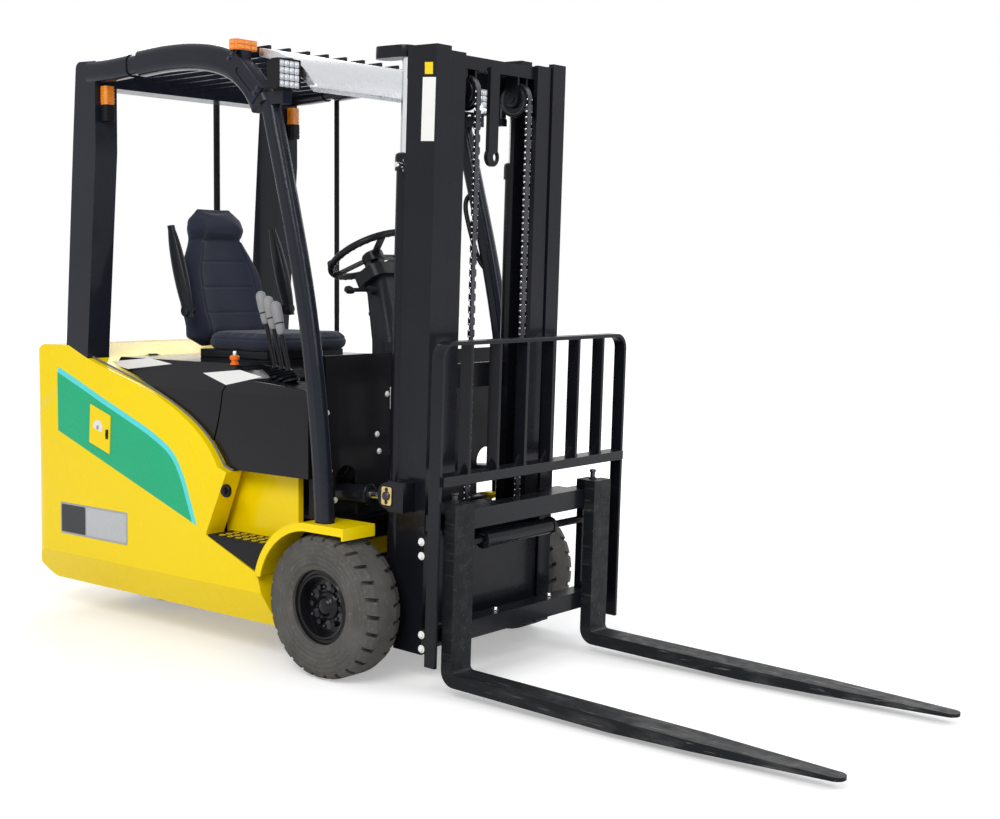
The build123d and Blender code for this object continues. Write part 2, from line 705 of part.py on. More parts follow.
with BuildPart() as inner_mast:
    add(channel(RAIL_FRONT_X - 6, INNER_RAIL_D, INNER_RAIL_Y, INNER_RAIL_W, 12, 16, MAST_BOTTOM_Z + 10, INNER_TOP_Z))
    with Locations((206, 0, 1930)):
        Box(70, 2 * INNER_RAIL_Y - 2 * INNER_RAIL_W + 40, 40)
    with Locations((154, 0, 160)):
        Box(12, 400, 90)
    for side in (-1, 1):
        with BuildSketch(Plane.XY.offset(1939)):
            with Locations((43, side * CYLINDER_Y)):
                SlotOverall(150, 70)
            with Locations((115, side * 223.5)):
                Rectangle(120, 57)
        extrude(amount=38)
        for y in (SHEAVE_Y - 22, SHEAVE_Y + 22):
            with BuildSketch(Plane.XZ.offset(-side * y - 4)):
                with Locations((SHEAVE_X, SHEAVE_Z)):
                    Circle(25)
                with Locations((SHEAVE_X, 1885)):
                    Rectangle(50, 90)
            extrude(amount=8)
        with Locations(Location((SHEAVE_X, side * SHEAVE_Y, SHEAVE_Z), (90, 0, 0))):
            Cylinder(12, 60)
    # hook plate hung from the top crossmember
    with BuildSketch(Plane.YZ.offset(236)):
        with Locations((-32, 1790)):
            Rectangle(46, 270)
        with Locations((-32, 1645)):
            Circle(30)
        with Locations((-18, 1645)):
            Circle(14, mode=Mode.SUBTRACT)
    extrude(amount=14)
save(on_mast(inner_mast.part), "inner_mast")

with BuildPart() as chain_sheaves:
    for side in (-1, 1):
        with Locations(Location((SHEAVE_X, side * SHEAVE_Y, SHEAVE_Z), (90, 0, 0))):
            Cylinder(SHEAVE_R, 30)
            Cylinder(12, 40, mode=Mode.SUBTRACT)
save(on_mast(chain_sheaves.part), "chain_sheaves")

# Leaf chains: alternating wide and narrow links from the carriage over the sheave
CHAIN_PITCH = 19.0
CHAIN_BOTTOM_Z = 546.0
with BuildPart() as lift_chains:
    links = int((SHEAVE_Z - CHAIN_BOTTOM_Z) // CHAIN_PITCH)
    pitch = (SHEAVE_Z - CHAIN_BOTTOM_Z) / links
    places = [(SHEAVE_X + SHEAVE_R + 5.2, 0, CHAIN_BOTTOM_Z + pitch * (i + 0.5)) for i in range(links)]
    for side in (-1, 1):
        lane = [(x, side * SHEAVE_Y, z) for x, y, z in places]
        with Locations(lane[0::2]):
            Box(10, 24, pitch)
        with Locations(lane[1::2]):
            Box(7, 15, pitch)
        with Locations((SHEAVE_X - SHEAVE_R - 5, side * SHEAVE_Y, 1811)):
            Box(8, 22, 58)
        with BuildSketch(Plane.XZ.offset(-side * SHEAVE_Y - 11)):
            with Locations((SHEAVE_X, SHEAVE_Z)):
                Circle(SHEAVE_R + 9)
                Circle(SHEAVE_R + 0.2, mode=Mode.SUBTRACT)
            with Locations((SHEAVE_X, SHEAVE_Z - 100)):
                Rectangle(200, 200, mode=Mode.SUBTRACT)
        extrude(amount=22)
save(on_mast(lift_chains.part), "lift_chains")

# Carriage on rollers, and the side shifter that carries forks and backrest
with BuildPart() as carriage:
    for side in (-1, 1):
        with Locations((244, side * 155, 300)):
            Box(126, 16, 300)
        for z in (200, 400):
            with Locations(Location((201, side * 198, z), (90, 0, 0))):
                Cylinder(34, 34)
            with Locations(Location((201, side * 172, z), (90, 0, 0))):
                Cylinder(16, 30)
        with Locations((320, side * 140, 455)):
            Box(46, 24, 40)
        with Locations((286, side * SHEAVE_Y, 532)):
            Box(28, 30, 26)
    with Locations((322, 0, 515)):
        Box(44, 700, 60)
    with Locations((344, 0, 527)):
        with GridLocations(1, 100, 1, 7):
            Box(10, 18, 60, mode=Mode.SUBTRACT)
    with Locations((322, 0, 175)):
        Box(44, 700, 55)
    with Locations((300, 0, 345)):
        Box(14, 330, 400)
save(on_mast(carriage.part), "carriage")

with BuildPart() as side_shifter:
    for z, high in ((536, 62), (193, 56)):
        with Locations((377, SHIFT_Y, z)):
            Box(60, 780, high)
        with Locations((370, SHIFT_Y, z)):
            Box(28, 2 * BACKREST_HALF - 24, high - 14)
    for y in (-330, 330):
        with Locations((360, SHIFT_Y + y, 365)):
            Box(24, 30, 300)
    for y in (-200, 200):
        with Locations((335, SHIFT_Y + y, 557)):
            Box(58, 120, 18)
    with Locations(Location((368, SHIFT_Y, 455), (90, 0, 0))):
        Cylinder(12, 660)
save(on_mast(side_shifter.part), "side_shifter")

with BuildPart() as shift_cylinder:
    with Locations(Location((369, 0, 455), (90, 0, 0))):
        Cylinder(26, 330)
    with Locations(Location((368, 0, 455), (90, 0, 0))):
        Cylinder(12.6, 400, mode=Mode.SUBTRACT)
save(on_mast(shift_cylinder.part), "shift_cylinder")

with BuildPart() as backrest:
    with BuildLine(Plane.YZ.offset(395)) as loop:
        FilletPolyline(
            (SHIFT_Y - BACKREST_HALF + 6, 105), (SHIFT_Y - BACKREST_HALF + 6, BACKREST_TOP_Z - 6),
            (SHIFT_Y + BACKREST_HALF - 6, BACKREST_TOP_Z - 6), (SHIFT_Y + BACKREST_HALF - 6, 105),
            radius=45,
        )
    with BuildSketch(Plane(loop.line @ 0, x_dir=(1, 0, 0), z_dir=loop.line % 0)):
        Rectangle(42, 12)
    sweep(path=loop.line)
    for i in range(6):
        y = SHIFT_Y - BACKREST_HALF + 2 * BACKREST_HALF / 7 * (i + 1)
        with Locations((395, y, 875)):
            Box(42, 12, 398)
        # gusset that spreads each bar onto the crossbar
        with BuildSketch(Plane.YZ.offset(392)):
            with BuildLine():
                Polyline((y - 34, 678), (y + 34, 678), (y + 6, 712), (y - 6, 712), close=True)
            make_face()
        extrude(amount=8)
    with Locations((395, SHIFT_Y, 665)):
        Box(60, 2 * BACKREST_HALF - 20, 30)
save(on_mast(backrest.part), "backrest")

# Forks: upright shank with hooks, rounded heel, blade tapering to a thin rounded tip
with BuildPart() as forks:
    tip_x = FORK_FACE_X + FORK_LENGTH
    for side in (-1, 1):
        near = side * (FORK_OUTER_Y - FORK_WIDTH / 2)
        with BuildSketch(Plane.XZ.offset(-near - FORK_WIDTH / 2)):
            with BuildLine():
                Polyline(
                    (FORK_FACE_X - FORK_THICK, FORK_SHANK_TOP_Z), (FORK_FACE_X, FORK_SHANK_TOP_Z),
                    (FORK_FACE_X, FORK_TOP_Z + 14),
                )
                ThreePointArc(
                    (FORK_FACE_X, FORK_TOP_Z + 14), (FORK_FACE_X + 4, FORK_TOP_Z + 4), (FORK_FACE_X + 14, FORK_TOP_Z),
                )
                Polyline(
                    (FORK_FACE_X + 14, FORK_TOP_Z), (tip_x, FORK_TOP_Z), (tip_x, FORK_TOP_Z - 10),
                    (FORK_FACE_X + 560, FORK_TOP_Z - FORK_THICK), (FORK_FACE_X + 8, FORK_TOP_Z - FORK_THICK),
                )
                ThreePointArc(
                    (FORK_FACE_X + 8, FORK_TOP_Z - FORK_THICK),
                    (FORK_FACE_X - 26, FORK_TOP_Z - FORK_THICK + 14),
                    (FORK_FACE_X - FORK_THICK, FORK_TOP_Z + 8),
                )
                Line(
                    (FORK_FACE_X - FORK_THICK, FORK_TOP_Z + 8), (FORK_FACE_X - FORK_THICK, FORK_SHANK_TOP_Z),
                )
            make_face()
        extrude(amount=FORK_WIDTH)
        with Locations((FORK_FACE_X - FORK_THICK - 20, near, 581)):
            Box(44, 70, 28)
    # blades narrow toward the tips in plan
    with BuildSketch(Plane.XY):
        for side in (-1, 1):
            near = side * (FORK_OUTER_Y - FORK_WIDTH / 2)
            with BuildLine():
                Polyline(
                    (tip_x - 420, near + FORK_WIDTH / 2), (300, near + FORK_WIDTH / 2),
                    (300, near - FORK_WIDTH / 2), (tip_x - 420, near - FORK_WIDTH / 2),
                    (tip_x - 30, near - 27),
                )
                ThreePointArc((tip_x - 30, near - 27), (tip_x, near), (tip_x - 30, near + 27))
                Line((tip_x - 30, near + 27), (tip_x - 420, near + FORK_WIDTH / 2))
            make_face()
    extrude(amount=700, mode=Mode.INTERSECT)
save(on_mast(forks.part), "forks")

# Tilt cylinders, barrel and rod of each side
tilt_angle = math.degrees(math.atan2(TILT_EYE[1] - TILT_REAR[1], TILT_EYE[0] - TILT_REAR[0]))
tilt_length = math.hypot(TILT_EYE[0] - TILT_REAR[0], TILT_EYE[1] - TILT_REAR[1])
with BuildPart() as tilt_barrel:
    with Locations(Location((40, 0, 0), (0, 90, 0))):
        Cylinder(30, 170, align=(Align.CENTER, Align.CENTER, Align.MIN))
        Cylinder(15.05, 200, align=(Align.CENTER, Align.CENTER, Align.MIN), mode=Mode.SUBTRACT)
    with Locations(Location((0, 0, 0), (90, 0, 0))):
        Cylinder(22, 30)
    with Locations((25, 0, 0)):
        Box(40, 30, 34)
    with Locations(Location((0, 0, 0), (90, 0, 0))):
        Cylinder(10.05, 60, mode=Mode.SUBTRACT)
with BuildPart() as tilt_rod:
    with Locations(Location((100, 0, 0), (0, 90, 0))):
        Cylinder(15, tilt_length - 115, align=(Align.CENTER, Align.CENTER, Align.MIN))
    with Locations(Location((tilt_length, 0, 0), (90, 0, 0))):
        Cylinder(22, 24)
        Cylinder(12, 60, mode=Mode.SUBTRACT)
for side, name in ((-1, "right"), (1, "left")):
    place = Pos(TILT_REAR[0], side * TILT_Y, TILT_REAR[1]) * Rot(0, -tilt_angle, 0)
    save(on_truck(place * tilt_barrel.part), f"tilt_barrel_{name}")
    save(on_truck(place * tilt_rod.part), f"tilt_rod_{name}")
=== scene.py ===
import math

import bmesh
import bpy
from mathutils import Matrix, Vector


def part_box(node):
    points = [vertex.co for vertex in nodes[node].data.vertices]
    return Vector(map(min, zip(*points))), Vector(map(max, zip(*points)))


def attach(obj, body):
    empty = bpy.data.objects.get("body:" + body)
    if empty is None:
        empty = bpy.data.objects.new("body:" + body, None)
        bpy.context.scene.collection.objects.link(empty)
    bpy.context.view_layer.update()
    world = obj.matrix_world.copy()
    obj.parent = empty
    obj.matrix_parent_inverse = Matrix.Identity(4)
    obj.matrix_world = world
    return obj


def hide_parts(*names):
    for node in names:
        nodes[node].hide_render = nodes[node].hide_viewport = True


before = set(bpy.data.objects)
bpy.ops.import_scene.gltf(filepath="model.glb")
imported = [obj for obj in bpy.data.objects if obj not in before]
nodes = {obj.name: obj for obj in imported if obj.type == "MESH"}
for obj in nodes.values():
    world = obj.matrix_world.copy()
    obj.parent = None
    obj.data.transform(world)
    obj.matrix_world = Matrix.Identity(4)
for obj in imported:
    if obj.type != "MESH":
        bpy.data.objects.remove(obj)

bpy.context.scene.view_settings.view_transform = "Standard"
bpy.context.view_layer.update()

# The truck's own measures. Pieces are drawn in millimetres, X counted from the front axle,
# and are put into the frame, in metres, when they are finished.
AXLE_X = -0.0591
SKIN_Y = 510.0
SKIN_LEAN = math.tan(math.radians(2.5))
MAST_TILT = math.radians(1.8)
MAST_REF_Z = 150.0
WHEEL_Y = 447.5
WHEEL_Z = 228.5
REAR_WHEEL = (-1270.0, 192.5)
SHIFT_Y = 36.0
SIDES = ((-1, "right"), (1, "left"))

# Camera, as fitted to the photograph, millimetres from the front axle
CAMERA_MM = Vector((3290.7, -3732.8, 1264.4))
CAMERA_YAW = math.radians(131.09)
CAMERA_PITCH = math.radians(-3.25)
CAMERA_ROLL = math.radians(0.2)
PHOTO_WIDTH = 1000
PHOTO_HEIGHT = 819
FOCAL_PX = 1491.3
CENTRE_PX = (437.0, 359.2)
SENSOR_MM = 36.0
LOOK = Vector((
    math.cos(CAMERA_YAW) * math.cos(CAMERA_PITCH),
    math.sin(CAMERA_YAW) * math.cos(CAMERA_PITCH),
    math.sin(CAMERA_PITCH),
))
LEVEL_RIGHT = Vector((math.sin(CAMERA_YAW), -math.cos(CAMERA_YAW), 0.0))
LEVEL_UP = LEVEL_RIGHT.cross(LOOK)
RIGHT = LEVEL_RIGHT * math.cos(CAMERA_ROLL) + LEVEL_UP * math.sin(CAMERA_ROLL)
UP = LEVEL_UP * math.cos(CAMERA_ROLL) - LEVEL_RIGHT * math.sin(CAMERA_ROLL)


def at(p):
    """Truck millimetres to scene metres."""
    return Vector((p[0] / 1000 + AXLE_X, p[1] / 1000, p[2] / 1000))


def mast_at(p):
    """Millimetres on the upright mast to scene metres on the leaned one."""
    rise = p[2] - MAST_REF_Z
    x = p[0] * math.cos(MAST_TILT) + rise * math.sin(MAST_TILT)
    z = MAST_REF_Z - p[0] * math.sin(MAST_TILT) + rise * math.cos(MAST_TILT)
    return at((x, p[1], z))


def seen_at(pixel, through, normal):
    """Where the line of sight of a pixel meets a plane, truck millimetres."""
    across = (pixel[0] - CENTRE_PX[0]) / FOCAL_PX
    down = (pixel[1] - CENTRE_PX[1]) / FOCAL_PX
    ray = LOOK + RIGHT * across - UP * down
    facing_plane = Vector(normal)
    reach = facing_plane.dot(Vector(through) - CAMERA_MM) / facing_plane.dot(ray)
    return CAMERA_MM + ray * reach


def add_camera():
    data = bpy.data.cameras.new("camera")
    data.sensor_width = SENSOR_MM
    data.sensor_fit = "HORIZONTAL"
    data.lens = FOCAL_PX * SENSOR_MM / PHOTO_WIDTH
    data.shift_x = (PHOTO_WIDTH / 2 - CENTRE_PX[0]) / PHOTO_WIDTH
    data.shift_y = (CENTRE_PX[1] - PHOTO_HEIGHT / 2) / PHOTO_WIDTH
    camera = bpy.data.objects.new("camera", data)
    bpy.context.scene.collection.objects.link(camera)
    place = at(CAMERA_MM)
    camera.matrix_world = Matrix((
        (RIGHT.x, UP.x, -LOOK.x, place.x),
        (RIGHT.y, UP.y, -LOOK.y, place.y),
        (RIGHT.z, UP.z, -LOOK.z, place.z),
        (0.0, 0.0, 0.0, 1.0),
    ))
    bpy.context.scene.camera = camera


# Material building: each function adds one kind of detail to a Principled material
class Finish:
    def __init__(self, name, color, roughness, metallic=0.0):
        self.mat = bpy.data.materials.new(name)
        self.mat.use_nodes = True
        self.tree = self.mat.node_tree
        self.shader = self.tree.nodes["Principled BSDF"]
        self.color = tuple(color) + (1.0,)
        self.shader.inputs["Base Color"].default_value = self.color
        self.shader.inputs["Roughness"].default_value = roughness
        self.shader.inputs["Metallic"].default_value = metallic
        self.mat.diffuse_color = self.color
        self.base = None
        self.normal = None
        self.place = self.tree.nodes.new("ShaderNodeTexCoord").outputs["Object"]

    def set(self, **values):
        for key, value in values.items():
            self.shader.inputs[key.replace("_", " ")].default_value = value

    def noise(self, scale, detail=4.0, stretch=(1.0, 1.0, 1.0)):
        mapping = self.tree.nodes.new("ShaderNodeMapping")
        mapping.inputs["Scale"].default_value = stretch
        self.tree.links.new(self.place, mapping.inputs["Vector"])
        node = self.tree.nodes.new("ShaderNodeTexNoise")
        node.inputs["Scale"].default_value = scale
        node.inputs["Detail"].default_value = detail
        self.tree.links.new(mapping.outputs["Vector"], node.inputs["Vector"])
        return node.outputs["Fac"]

    def ramp(self, source, low, high, low_value=0.0, high_value=1.0):
        node = self.tree.nodes.new("ShaderNodeMapRange")
        node.inputs["From Min"].default_value = low
        node.inputs["From Max"].default_value = high
        node.inputs["To Min"].default_value = low_value
        node.inputs["To Max"].default_value = high_value
        self.tree.links.new(source, node.inputs["Value"])
        return node.outputs["Result"]

    def math(self, kind, first, second):
        node = self.tree.nodes.new("ShaderNodeMath")
        node.operation = kind
        for socket, value in ((node.inputs[0], first), (node.inputs[1], second)):
            if isinstance(value, (int, float)):
                socket.default_value = value
            else:
                self.tree.links.new(value, socket)
        return node.outputs[0]

    def tint(self, mask, color):
        mix = self.tree.nodes.new("ShaderNodeMix")
        mix.data_type = "RGBA"
        self.tree.links.new(mask, mix.inputs["Factor"])
        first, second = mix.inputs[6], mix.inputs[7]
        if self.base is None:
            first.default_value = self.color
        else:
            self.tree.links.new(self.base, first)
        second.default_value = tuple(color) + (1.0,)
        self.base = mix.outputs[2]
        self.tree.links.new(self.base, self.shader.inputs["Base Color"])

    def roughness(self, source):
        self.tree.links.new(source, self.shader.inputs["Roughness"])

    def bump(self, source, depth, strength=1.0):
        node = self.tree.nodes.new("ShaderNodeBump")
        node.inputs["Distance"].default_value = depth
        node.inputs["Strength"].default_value = strength
        self.tree.links.new(source, node.inputs["Height"])
        if self.normal is not None:
            self.tree.links.new(self.normal, node.inputs["Normal"])
        self.normal = node.outputs["Normal"]
        self.tree.links.new(self.normal, self.shader.inputs["Normal"])

    def mottle(self, scale, low, high, amount, color):
        """Patches of a second colour, up to an amount."""
        self.tint(self.ramp(self.noise(scale), low, high, 0.0, amount), color)

    def uneven(self, scale, low, high):
        """Roughness that wanders between two values."""
        self.roughness(self.ramp(self.noise(scale), 0.3, 0.7, low, high))

    def along(self, axis):
        """The place on the object along one axis, in metres of the frame."""
        node = self.tree.nodes.new("ShaderNodeSeparateXYZ")
        self.tree.links.new(self.place, node.inputs[0])
        return node.outputs[axis]


DARK_GLOSS = 0.10


def paint_yellow():
    f = Finish("yellow_paint", (0.96, 0.71, 0.0), 0.26)
    f.set(Coat_Weight=0.10, Coat_Roughness=0.06, Specular_IOR_Level=0.12)
    f.mottle(1.6, 0.35, 0.75, 0.30, (0.91, 0.62, 0.0))
    f.mottle(40.0, 0.70, 0.82, 0.06, (0.55, 0.42, 0.02))
    f.uneven(7.0, 0.20, 0.32)
    f.bump(f.noise(240.0, 2.0), 0.0001)
    return f.mat


def paint_dark(name, color, rough, coat):
    f = Finish(name, color, rough)
    f.set(Coat_Weight=coat, Coat_Roughness=0.10, Specular_IOR_Level=DARK_GLOSS)
    f.mottle(4.0, 0.4, 0.75, 0.35, tuple(c * 1.7 for c in color))
    f.mottle(70.0, 0.70, 0.80, 0.12, (0.10, 0.10, 0.10))
    f.uneven(11.0, rough * 0.85, rough * 1.2)
    f.bump(f.noise(200.0, 2.0), 0.00005)
    return f.mat


def flat_paint(name, color, rough=0.4):
    f = Finish(name, color, rough)
    f.set(Specular_IOR_Level=0.25)
    f.mottle(9.0, 0.4, 0.8, 0.25, tuple(c * 0.82 for c in color))
    f.mottle(85.0, 0.68, 0.8, 0.12, tuple(c * 0.6 for c in color))
    f.uneven(15.0, rough * 0.8, rough * 1.25)
    return f.mat


def moulded_plastic(name, color, rough):
    f = Finish(name, color, rough)
    f.set(Coat_Weight=0.12, Coat_Roughness=0.06, Specular_IOR_Level=DARK_GLOSS)
    f.mottle(6.0, 0.4, 0.8, 0.3, tuple(c * 1.6 for c in color))
    f.uneven(9.0, rough * 0.8, rough * 1.25)
    f.bump(f.noise(520.0, 2.0), 0.0001)
    return f.mat


def rubber(name, centre):
    """Dusty tyre rubber with moulded rings about the wheel's own axle."""
    f = Finish(name, (0.085, 0.082, 0.076), 0.85)
    f.set(Specular_IOR_Level=0.15)
    f.mottle(14.0, 0.35, 0.7, 0.55, (0.14, 0.135, 0.125))
    f.mottle(70.0, 0.58, 0.75, 0.45, (0.20, 0.195, 0.18))
    across = f.math("SUBTRACT", f.along("X"), centre[0] / 1000 + AXLE_X)
    upward = f.math("SUBTRACT", f.along("Z"), centre[1] / 1000)
    square = f.math("ADD", f.math("MULTIPLY", across, across), f.math("MULTIPLY", upward, upward))
    radius = f.math("SQRT", square, 0.0)
    rings = f.math("SINE", f.math("MULTIPLY", radius, 420.0), 0.0)
    f.bump(rings, 0.0012, 0.6)
    f.bump(f.noise(160.0), 0.0005)
    return f.mat


def seat_fabric():
    f = Finish("seat_cloth", (0.009, 0.013, 0.030), 0.8)
    f.set(Sheen_Weight=0.15, Sheen_Roughness=0.5, Specular_IOR_Level=0.25)
    f.mottle(9.0, 0.35, 0.75, 0.5, (0.018, 0.023, 0.042))
    weave = f.tree.nodes.new("ShaderNodeTexVoronoi")
    weave.inputs["Scale"].default_value = 700.0
    f.tree.links.new(f.place, weave.inputs["Vector"])
    f.tint(f.ramp(weave.outputs["Distance"], 0.1, 0.6, 0.0, 0.35), (0.030, 0.036, 0.058))
    f.bump(weave.outputs["Distance"], 0.0004)
    return f.mat


def bare_metal(name, color, rough, scratch=0.3):
    f = Finish(name, color, rough, 1.0)
    f.mottle(20.0, 0.4, 0.7, scratch, tuple(c * 0.6 for c in color))
    f.uneven(45.0, rough * 0.7, rough * 1.4)
    f.bump(f.noise(300.0, 2.0), 0.0001)
    return f.mat


def fork_steel():
    """Dark paint, scraped along the blades and worn through near the tips."""
    f = Finish("fork_steel", (0.011, 0.012, 0.014), 0.42)
    f.set(Specular_IOR_Level=DARK_GLOSS)
    worn = f.ramp(f.along("X"), 0.45, 1.55, 0.25, 1.0)
    scrape = f.ramp(f.noise(26.0, 6.0, (0.25, 1.0, 1.0)), 0.50, 0.64, 0.0, 0.55)
    f.tint(f.math("MULTIPLY", scrape, worn), (0.085, 0.085, 0.085))
    scratch = f.ramp(f.noise(120.0, 3.0, (0.08, 1.0, 1.0)), 0.63, 0.70, 0.0, 0.7)
    f.tint(f.math("MULTIPLY", scratch, worn), (0.22, 0.22, 0.21))
    f.uneven(30.0, 0.30, 0.55)
    f.bump(f.noise(90.0, 5.0, (0.4, 1.0, 1.0)), 0.0005)
    return f.mat


def lens(name, color, pale):
    f = Finish(name, color, 0.12)
    f.set(Coat_Weight=0.8)
    f.mottle(70.0, 0.4, 0.7, 0.5, pale)
    f.bump(f.noise(240.0), 0.0004)
    return f.mat


yellow = paint_yellow()
guard_paint = paint_dark("guard_paint", (0.010, 0.012, 0.019), 0.24, 0.16)
mast_paint = paint_dark("mast_paint", (0.0075, 0.008, 0.011), 0.28, 0.14)
frame_paint = paint_dark("frame_paint", (0.008, 0.008, 0.010), 0.42, 0.06)
rim_paint = paint_dark("rim_paint", (0.007, 0.007, 0.009), 0.24, 0.20)
gloss_plastic = moulded_plastic("gloss_plastic", (0.0065, 0.0065, 0.0085), 0.16)
grained_plastic = moulded_plastic("grained_plastic", (0.010, 0.011, 0.014), 0.42)
grey_plastic = moulded_plastic("grey_plastic", (0.26, 0.26, 0.27), 0.45)
silver_beam = bare_metal("silver_beam", (0.62, 0.64, 0.67), 0.30, 0.08)
chrome = bare_metal("chrome", (0.72, 0.73, 0.75), 0.14, 0.15)
brass = bare_metal("brass", (0.65, 0.50, 0.22), 0.30, 0.3)
chain_steel = bare_metal("chain_steel", (0.07, 0.07, 0.08), 0.40, 0.5)
white_paint = flat_paint("white_paint", (0.82, 0.82, 0.80))
label_yellow = flat_paint("label_yellow", (0.85, 0.62, 0.01))
panel_green = flat_paint("panel_green", (0.004, 0.42, 0.19), 0.28)
panel_mint = flat_paint("panel_mint", (0.10, 0.72, 0.74), 0.28)
plate_grey = flat_paint("plate_grey", (0.36, 0.38, 0.40), 0.30)
plate_dark = flat_paint("plate_dark", (0.022, 0.024, 0.028), 0.30)
# grey of the instrument buttons, also the painted highlight along the hood's lower edge
button_grey_and_edge_highlight = flat_paint("button_grey_and_edge_highlight", (0.16, 0.17, 0.18), 0.35)
orange_paint = flat_paint("orange_paint", (0.85, 0.16, 0.01), 0.35)
mat_rubber = flat_paint("mat_rubber", (0.018, 0.018, 0.019), 0.8)
front_tyre = rubber("front_tyre_rubber", (0.0, WHEEL_Z))
rear_tyre = rubber("rear_tyre_rubber", REAR_WHEEL)
cloth = seat_fabric()
forks_finish = fork_steel()
amber = lens("amber_lens", (0.85, 0.24, 0.006), (0.95, 0.40, 0.02))
clear = lens("clear_lens", (0.62, 0.64, 0.68), (0.40, 0.42, 0.46))
plate_light = flat_paint("plate_light", (0.50, 0.52, 0.54), 0.25)
tail_red = lens("tail_red", (0.42, 0.012, 0.010), (0.60, 0.03, 0.02))

FINISHES = {
    yellow: "body_shell side_panels front_fenders charge_door",
    frame_paint: "steps front_frame drive_unit steer_knuckle guard_posts work_lamps battery",
    guard_paint: "roof_slats guard_frame",
    mast_paint: "outer_mast inner_mast lift_barrels carriage side_shifter shift_cylinder backrest "
                "tilt_barrel_left tilt_barrel_right",
    silver_beam: "guard_beam",
    gloss_plastic: "hood lever_console",
    grained_plastic: "column_cover steering_wheel seat_base armrests control_levers",
    cloth: "seat_cushion seat_back",
    amber: "amber_lamps",
    front_tyre: "front_tyre_left front_tyre_right",
    rear_tyre: "rear_tyres",
    rim_paint: "front_rim_left front_rim_right rear_rims",
    chrome: "lift_rods tilt_rod_left tilt_rod_right",
    chain_steel: "lift_chains chain_sheaves",
    forks_finish: "forks",
}

# Widths, in millimetres, of the rounding on the edges of the nodes
ROUNDED = {
    "body_shell": 5.0, "hood": 9.0, "lever_console": 7.0, "forks": 3.0,
    "outer_mast": 1.5, "inner_mast": 1.5, "side_shifter": 2.5, "carriage": 2.0, "guard_beam": 3.0,
    "seat_base": 3.0, "backrest": 1.5, "steps": 0.8, "charge_door": 0.8, "battery": 3.0,
    "work_lamps": 0.8, "front_frame": 1.0,
}


# Shapes, drawn in millimetres
def facing(origin, axis, along=(0, 0, 1)):
    """A frame at origin with Z along axis and X as near as it can be to another direction."""
    z = Vector(axis).normalized()
    x = Vector(along)
    if abs(z.dot(x.normalized())) > 0.95:
        x = Vector((1, 0, 0))
    y = z.cross(x).normalized()
    x = y.cross(z)
    frame_matrix = Matrix((x, y, z)).transposed().to_4x4()
    frame_matrix.translation = Vector(origin)
    return frame_matrix


def moved(place, x, y):
    """The place, shifted on its own plane."""
    return place @ Matrix.Translation(Vector((x, y, 0)))


def lathe(bm, place, profile, steps=24):
    """A turned shape: its profile, as radius and height, about the Z of its place."""
    rings = []
    for radius, height in profile:
        count = steps if radius > 0 else 1
        rings.append([
            bm.verts.new(place @ Vector((
                radius * math.cos(2 * math.pi * k / count),
                radius * math.sin(2 * math.pi * k / count),
                height,
            )))
            for k in range(count)
        ])
    for low, high in zip(rings, rings[1:]):
        for k in range(steps):
            j = (k + 1) % steps
            unique = list(dict.fromkeys((
                low[k % len(low)], low[j % len(low)], high[j % len(high)], high[k % len(high)],
            )))
            if len(unique) > 2:
                bm.faces.new(unique)


def band(bm, low, high):
    """Faces between two loops of as many points each."""
    for k in range(len(low)):
        j = (k + 1) % len(low)
        bm.faces.new((low[k], low[j], high[j], high[k]))


def plate(bm, low, high):
    """A closed plate between two loops of points."""
    rings = [[bm.verts.new(p) for p in loop] for loop in (low, high)]
    bm.faces.new(rings[0])
    bm.faces.new(rings[1])
    band(bm, *rings)


def prism(bm, outline, place, low, high):
    """A plate of any outline between two heights."""
    plate(bm, *([place @ Vector((x, y, h)) for x, y in outline] for h in (low, high)))


def block(bm, middle, size):
    w, d = size[0] / 2, size[1] / 2
    place = Matrix.Translation(Vector(middle))
    prism(bm, [(-w, -d), (w, -d), (w, d), (-w, d)], place, -size[2] / 2, size[2] / 2)


def rounded(width, height, radius, steps=5):
    """Outline of a rectangle with rounded corners."""
    points = []
    for quarter, (sx, sy) in enumerate(((1, 1), (-1, 1), (-1, -1), (1, -1))):
        for k in range(steps + 1):
            angle = math.pi / 2 * (quarter + k / steps)
            points.append((
                sx * (width / 2 - radius) + radius * math.cos(angle),
                sy * (height / 2 - radius) + radius * math.sin(angle),
            ))
    return points


def smooth_line(points, per=6):
    """Points of a smooth curve through the given ones."""
    pts = [Vector(p) for p in points]
    pts = [pts[0] * 2 - pts[1]] + pts + [pts[-1] * 2 - pts[-2]]
    line = []
    for a, b, c, d in zip(pts, pts[1:], pts[2:], pts[3:]):
        for k in range(per):
            t = k / per
            line.append(
                0.5 * (2 * b + (c - a) * t + (2 * a - 5 * b + 4 * c - d) * t * t
                       + (3 * b - a - 3 * c + d) * t ** 3)
            )
    line.append(pts[-2])
    return line


def bolt(bm, point, axis, radius, sides=6):
    """Bolt head on a washer."""
    place = facing(point, axis)
    washer = [(0, 0), (1.5, 0), (1.5, 0.2), (0, 0.25)]
    head = [(0, 0.2), (1, 0.2), (1, 0.8), (0.82, 1), (0, 1)]
    for profile, steps in ((washer, 20), (head, sides)):
        lathe(bm, place, [(r * radius, height * radius) for r, height in profile], steps)


def piece(name, bm, mat, body, place=at, bevel=0.0):
    """Turn the drawn shape into an object that rides on a body."""
    bmesh.ops.recalc_face_normals(bm, faces=bm.faces)
    for vertex in bm.verts:
        vertex.co = place(vertex.co)
    for edge in bm.edges:
        edge.smooth = len(edge.link_faces) == 2 and edge.calc_face_angle(0.0) < math.radians(38)
    for face in bm.faces:
        face.smooth = True
    mesh = bpy.data.meshes.new(name)
    bm.to_mesh(mesh)
    bm.free()
    mesh.materials.append(mat)
    obj = bpy.data.objects.new(name, mesh)
    bpy.context.scene.collection.objects.link(obj)
    if bevel:
        add_rounding(obj, bevel)
    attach(obj, body)
    return obj


